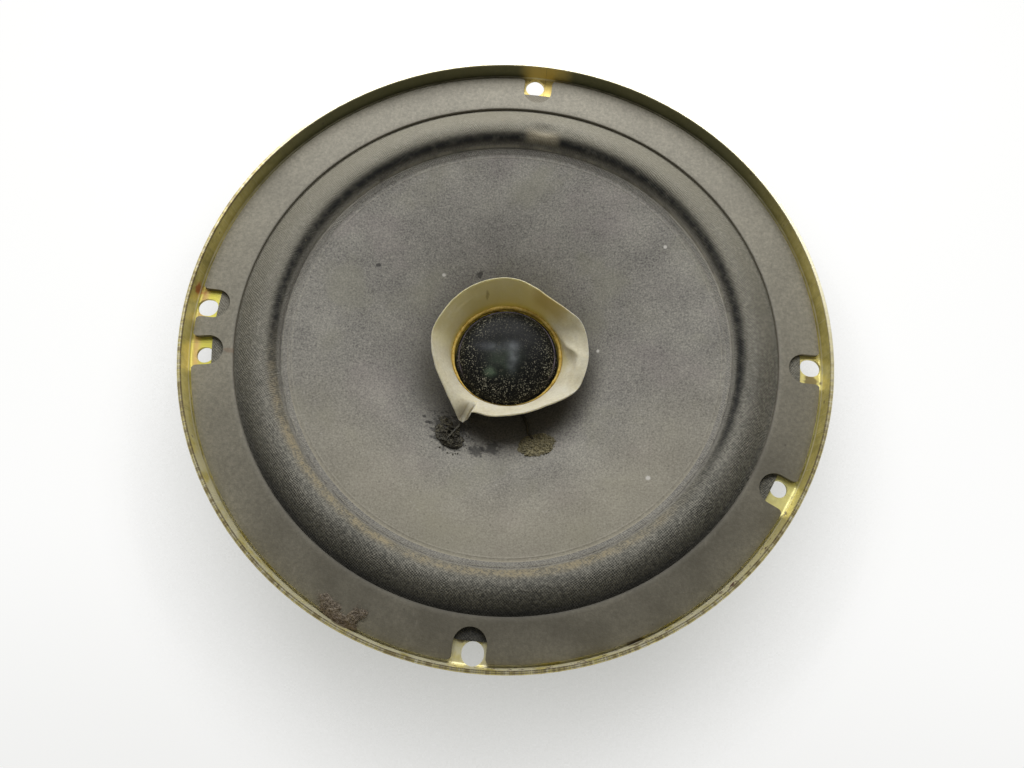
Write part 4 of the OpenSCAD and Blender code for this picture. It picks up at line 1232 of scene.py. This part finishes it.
def whizzerPoint(degrees, row, outward):
    facts = whizzerFacts
    radius, height, lean = wallLine(degrees)[row]
    share = row / facts["rows"]
    around = bump(turnBetween(degrees, facts["dimpleAngle"]), 0, facts["dimpleHalf"])
    push = facts["dimpleDepth"] * around * bump(share, facts["dimpleShare"], facts["dimpleReach"])
    push += facts["crumple"] * noise.noise(polar(7, degrees, 9 * share)) * share
    push += outward * facts["thickness"]
    return radius + push * math.cos(lean), height - push * math.sin(lean)


def makeWhizzer():
    facts = whizzerFacts
    rows = facts["rows"]
    within, without = 20, 21      # a plain tube first, with a row at each whole millimetre
    template = [(within, k) for k in range(rows + 2)]
    template += [(without, k) for k in range(rows + 1, -1, -1)]
    wall = spinProfile("whizzerPaper", template, facts["steps"])

    def place(point):
        degrees = angleOf(point)
        outward = 1.0 if radiusOf(point) > (within + without) / 2 else 0.0
        row = round(point.z)
        if row == 0:
            return polar(facts["base"] + outward * facts["thickness"], degrees, whizzerZ)
        radius, height = whizzerPoint(degrees, row - 1, outward)
        return polar(radius, degrees, height)

    reshape(wall, place)
    finishPiece(wall, "kraft_paper", "moving_cone", ("whizzer_cone",), 38)


makeWhizzer()
print("whizzer is bent")


# Amber bead of glue in the throat, thick at the top and thin at the bottom

beadFacts = {"steps": 240, "inset": 0.2, "sideTurn": 24, "lean": 0.5, "rise": 1.2,      # sizes: angle and size
             "sizes": [(30, 0.55), (90, 0.68), (150, 0.55), (205, 0.34), (232, 0.12), (262, 0.05), (292, 0.08),
                       (325, 0.34)]}


def makeBead():
    facts = beadFacts
    throatZ = whizzerZ + whizzerFacts["throatRise"] - facts["inset"]
    ringRadius = whizzerFacts["throat"] - facts["inset"]
    sides = (polar(1, angle) for angle in range(0, 360, facts["sideTurn"]))
    profile = [(ringRadius + side.x, throatZ + side.y) for side in sides]
    bead = spinProfile("throatBead", profile, facts["steps"])

    def flow(point):
        degrees = angleOf(point)
        size = alongRing(facts["sizes"], degrees)
        size *= 1 + 0.35 * noise.noise(polar(5, degrees)) + 0.25 * noise.noise(polar(22, degrees))
        radius = ringRadius + (radiusOf(point) - ringRadius) * size - size * facts["lean"] - tuckedIn(degrees)
        lift = 0.15 * noise.noise(polar(3, degrees, 5))
        return polar(radius, degrees, throatZ + (point.z - throatZ) * size * facts["rise"] + lift)

    reshape(bead, flow)
    finishPiece(bead, "amber_glue", "moving_cone", ("throat_glue_ring",), 60)


makeBead()


# Dust cap

capFacts = {"radius": 13.8, "inner": 12.7, "height": 4.6, "thickness": 0.5, "rows": 26, "steps": 240,
            "edge": 0.34, "bevel": 0.12, "ledge": 0.45, "tip": 0.02,
            "dentPlace": (-2.5, 1.0), "dentDepth": 0.35, "dentSpread": 22, "wobble": 0.05}


def makeCap():
    facts = capFacts
    radius, inner, thickness, rows = facts["radius"], facts["inner"], facts["thickness"], facts["rows"]
    edge, bevel, tip = facts["edge"], facts["bevel"], facts["tip"]
    rise = facts["height"] - thickness
    shell = radius - facts["ledge"]

    def dome(reach, baseZ, k):
        turn = math.pi / 2 * k / rows
        return (reach * math.cos(turn), baseZ + rise * math.sin(turn))

    profile = [(radius, capBaseZ), (radius, capBaseZ + edge), (radius - bevel, capBaseZ + edge + bevel)]
    profile += [dome(shell, capBaseZ + thickness, k) for k in range(rows)]
    profile += [(tip, capBaseZ + facts["height"]), (tip, capBaseZ + rise)]
    profile += [dome(inner, capBaseZ, k) for k in range(rows - 1, -1, -2)] + [(inner, capBaseZ)]
    cap = spinProfile("dustCap", profile, facts["steps"])

    def settle(point):      # a shallow dent in the dome, and a fine unevenness
        away = math.dist((point.x, point.y), facts["dentPlace"])
        dent = facts["dentDepth"] * math.exp(-away ** 2 / facts["dentSpread"])
        wobble = facts["wobble"] * noise.noise(point * 0.45)
        return lifted(point, (wobble - dent) * smooth(0.4, 1.5, point.z - capBaseZ))

    reshape(cap, settle)
    finishPiece(cap, "cap_black", "moving_cone", ("dust_cap",), 50)


makeCap()
print("cap sits on the former")


# Wound coil, a ring with the swell of each turn of wire

windingFacts = {"inner": 12.95, "outer": 13.37, "turns": 36, "steps": 120,
                "swell": ((0.0, 0.0), (0.2, 0.07), (0.5, 0.1), (0.8, 0.07))}


def makeWinding():
    facts = windingFacts
    low, high = (corner[2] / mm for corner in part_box("voice_coil_winding"))
    profile = [(facts["inner"], low)]
    for turn in range(facts["turns"]):
        profile += [(facts["outer"] + swell, low + (high - low) / facts["turns"] * (turn + share))
                    for share, swell in facts["swell"]]
    profile += [(facts["outer"], high), (facts["inner"], high)]
    coil = spinProfile("voiceCoilWinding", profile, facts["steps"])
    finishPiece(coil, "copper_wire", "moving_cone", ("voice_coil_winding",), 60)


makeWinding()
print("coil is wound")


# Glue on the cone: a crumpled dark lump with a stick in it, a low grainy patch, and the wires under glue

glueFacts = {
    "lumps": (((-12.0, -26.2), (3.2, 1.5), -12, 1.7), ((-15.2, -23.4), (1.4, 3.0), 14, 1.4),
              ((-14.2, -20.0), (2.3, 1.1), -30, 0.9), ((-12.3, -23.1), (2.3, 2.1), 40, 1.9),
              ((-9.9, -25.0), (1.3, 1.1), 60, 1.0)),
    "patch": {"centre": (10.4, -24.1), "half": (4.9, 3.3), "turn": 18, "height": 0.95},
    "patchGrains": 420, "patchSizes": (0.1, 0.3), "patchSpread": 1.04,
    "strayGrains": 90, "straySizes": (0.08, 0.26), "strayCentre": (-12.4, -23.6), "straySpread": 3.0,
    "stick": ((-9.6, -18.9, 2.6), (-10.7, -21.2, 1.7), (-11.8, -23.0, 1.5), (-13.3, -25.6, 1.0)),
    "stickRadius": 0.36, "stickSides": 8, "stickSpan": 8, "seed": 7,
}


def onCone(x, y, lift):
    return Vector((x, y, coneTop(min(math.hypot(x, y), coneFacts["edgeRadius"])) + lift))


def joinPieces(name, pieces):
    letGo()
    for piece in pieces:
        piece.select_set(True)
    bpy.context.view_layer.objects.active = pieces[0]
    bpy.ops.object.join()
    joined = bpy.context.object
    joined.name = name
    joined.data.name = name
    return joined


def roundLump(detail):
    letGo()
    bpy.ops.mesh.primitive_ico_sphere_add(subdivisions=detail, radius=mm, location=(0, 0, 0))
    return bpy.context.object


def onLump(facts, x, y):      # a place on the lump, from -1 to 1 along its two half lengths
    flat = Vector((facts["half"][0] * x, facts["half"][1] * y))
    return Vector(facts["centre"]) + Matrix.Rotation(math.radians(facts["turn"]), 2) @ flat


def layLump(facts, rough, surface, detail=6):      # a ball pressed onto a surface, with rough giving its relief
    lump = roundLump(detail)

    def lay(point):
        way = Vector((point.x, point.y, 0)).normalized()
        ragged = 1 + 0.22 * noise.noise(way * 1.6 + Vector((facts["turn"], 0, 0)))
        x, y = onLump(facts, point.x * ragged, point.y * ragged)
        lift = facts["height"] * point.z ** 0.7 * rough(x, y) if point.z > 0 else 0.25 * point.z
        return surface(x, y, lift)

    reshape(lump, lay)
    return lump


def crumpled(x, y):
    fold = 1 - 2 * abs(waves(Vector((x, y)), 1, 0.7))
    crease = 1 - 2 * abs(waves(Vector((x, y)), 4, 1.7))
    return 0.25 + 0.55 * fold * fold + 0.35 * crease * crease


def grainy(x, y):
    return 0.5 + 0.35 * waves(Vector((x, y)), 2, 1.4) + 0.25 * waves(Vector((x, y)), 6, 4)


def layLumps(lumps, rough, surface):
    return [layLump({"centre": centre, "half": half, "turn": turn, "height": height}, rough, surface, 5)
            for centre, half, turn, height in lumps]


def scatter(count, place, sizes, chance):      # small angular grains, modelled once and copied
    grain = roundLump(1)
    grains = []
    for _ in range(count):
        copy = grain.copy()
        copy.data = grain.data.copy()
        bpy.context.collection.objects.link(copy)
        size = chance.uniform(*sizes)
        centre = place()
        shape = Matrix.Rotation(chance.uniform(0, 6), 3, "Z") @ Matrix.Diagonal(
            Vector((size * chance.uniform(0.7, 1.5), size, size * chance.uniform(0.6, 1.1))))
        reshape(copy, lambda point: shape @ point + centre)
        grains.append(copy)
    bpy.data.objects.remove(grain)
    return grains


def makeGlue():
    facts = glueFacts
    chance = random.Random(facts["seed"])
    patch, spread = facts["patch"], facts["patchSpread"]

    def onPatch():
        reach, way = math.sqrt(chance.random()) * spread, chance.uniform(0, 2 * math.pi)
        x, y = onLump(patch, reach * math.cos(way), reach * math.sin(way))
        dome = math.sqrt(max(0.0, 1 - (reach / spread) ** 2))
        return onCone(x, y, patch["height"] * dome ** 0.7 * grainy(x, y) + chance.uniform(-0.05, 0.15))

    def nearLump():
        x, y = (chance.gauss(middle, facts["straySpread"]) for middle in facts["strayCentre"])
        return onCone(x, y, 0.1)

    def knotty(i, k):
        return facts["stickRadius"] * (1 + 0.25 * math.sin(i * 1.7 + k)) * (0.9 - i / 60)

    stickLine = catmull([onCone(x, y, lift) for x, y, lift in facts["stick"]], facts["stickSpan"])
    stick = tubeMesh("stick", stickLine, facts["stickSides"], knotty)
    pieces = layLumps(facts["lumps"], crumpled, onCone) + [layLump(patch, grainy, onCone), stick]
    pieces += scatter(facts["patchGrains"], onPatch, facts["patchSizes"], chance)
    pieces += scatter(facts["strayGrains"], nearLump, facts["straySizes"], chance)
    glue = joinPieces("leadGlue", pieces)
    finishPiece(glue, "grey_glue", "moving_cone", ("lead_glue_spots",), 45)


ridgeFacts = {"from": 15.3, "to": 24.2, "steps": 32, "sides": 12, "radius": 0.42, "sway": 0.5, "lift": 0.3}


def makeCoilLeads():      # the fine wires run under ridges of dark glue, from the whizzer to the lumps
    facts = ridgeFacts
    ridges = []
    for degrees in leadFacts["angles"].values():
        line = []
        for i in range(facts["steps"] + 1):
            radius = facts["from"] + (facts["to"] - facts["from"]) * i / facts["steps"]
            sway = facts["sway"] * noise.noise(Vector((radius * 0.3, degrees, 0)))
            point = polar(radius, degrees + math.degrees(sway / radius))
            line.append(onCone(point.x, point.y, facts["lift"]))
        ridges.append(tubeMesh("wireRidge", line, facts["sides"], lambda i, k: facts["radius"] * (
            1 + 0.35 * noise.noise(Vector((i * 0.4, k * 0.5, degrees))))))
    wires = joinPieces("coilLeadWires", ridges)
    finishPiece(wires, "copper_wire", "moving_cone", ("coil_lead_wires",), 50)


makeGlue()
makeCoilLeads()
print("glue and wires lie on the cone")


# Tuft of dirt caught between the card and the lip at the lower left

tuftFacts = {
    "lumps": (((-34.6, -70.6), (2.3, 1.5), 120, 0.8), ((-33.2, -71.8), (2.0, 1.6), 20, 1.0),
              ((-28.2, -73.3), (2.6, 1.5), 50, 1.0), ((-26.6, -72.3), (1.7, 1.1), 20, 0.8),
              ((-31.3, -73.6), (4.8, 1.4), -23, 0.8)),
    "fibres": 640, "length": (0.7, 2.0), "radius": 0.04, "curl": 2.2, "bends": 5, "seed": 11,
    "reach": 81.0, "clearance": 1.2,      # fibres past this radius, or below this height, are left out
}


def onCard(x, y, lift):
    return Vector((x, y, flangeZ + surroundFacts["thickness"] + gasketFacts["thickness"] + lift))


def makeTuft():
    facts = tuftFacts
    chance = random.Random(facts["seed"])
    bends = facts["bends"]
    pieces = layLumps(facts["lumps"], grainy, onCard)
    for _ in range(facts["fibres"]):
        (x, y), half, turn, height = chance.choice(facts["lumps"])
        spread = Matrix.Rotation(math.radians(turn), 2) @ Vector(
            (half[0] * chance.uniform(-0.95, 0.95), half[1] * chance.uniform(-0.95, 0.95)))
        root = onCard(x + spread.x, y + spread.y, chance.uniform(0, 0.5) * height)
        way, length = chance.uniform(0, 2 * math.pi), chance.uniform(*facts["length"])
        curl = chance.uniform(-facts["curl"], facts["curl"])
        line = [root]
        for k in range(bends):
            heading = way + curl * k / bends
            step = Vector((math.cos(heading) * 0.75, math.sin(heading) * 0.75, 0.45 - 0.28 * k))
            line.append(line[-1] + step * (length / bends))
        if any(radiusOf(point) > facts["reach"] or point.z < flangeZ + facts["clearance"] for point in line):
            continue
        pieces.append(tubeMesh("fibre", line, 3, lambda i, k: facts["radius"] * (1 - i / 7)))
    tuft = joinPieces("dirtTuft", pieces)
    finishPiece(tuft, "grey_glue", "frame", (), 60)


makeTuft()
print("dirt lies on the card")


bpy.context.scene.view_settings.view_transform = "Standard"
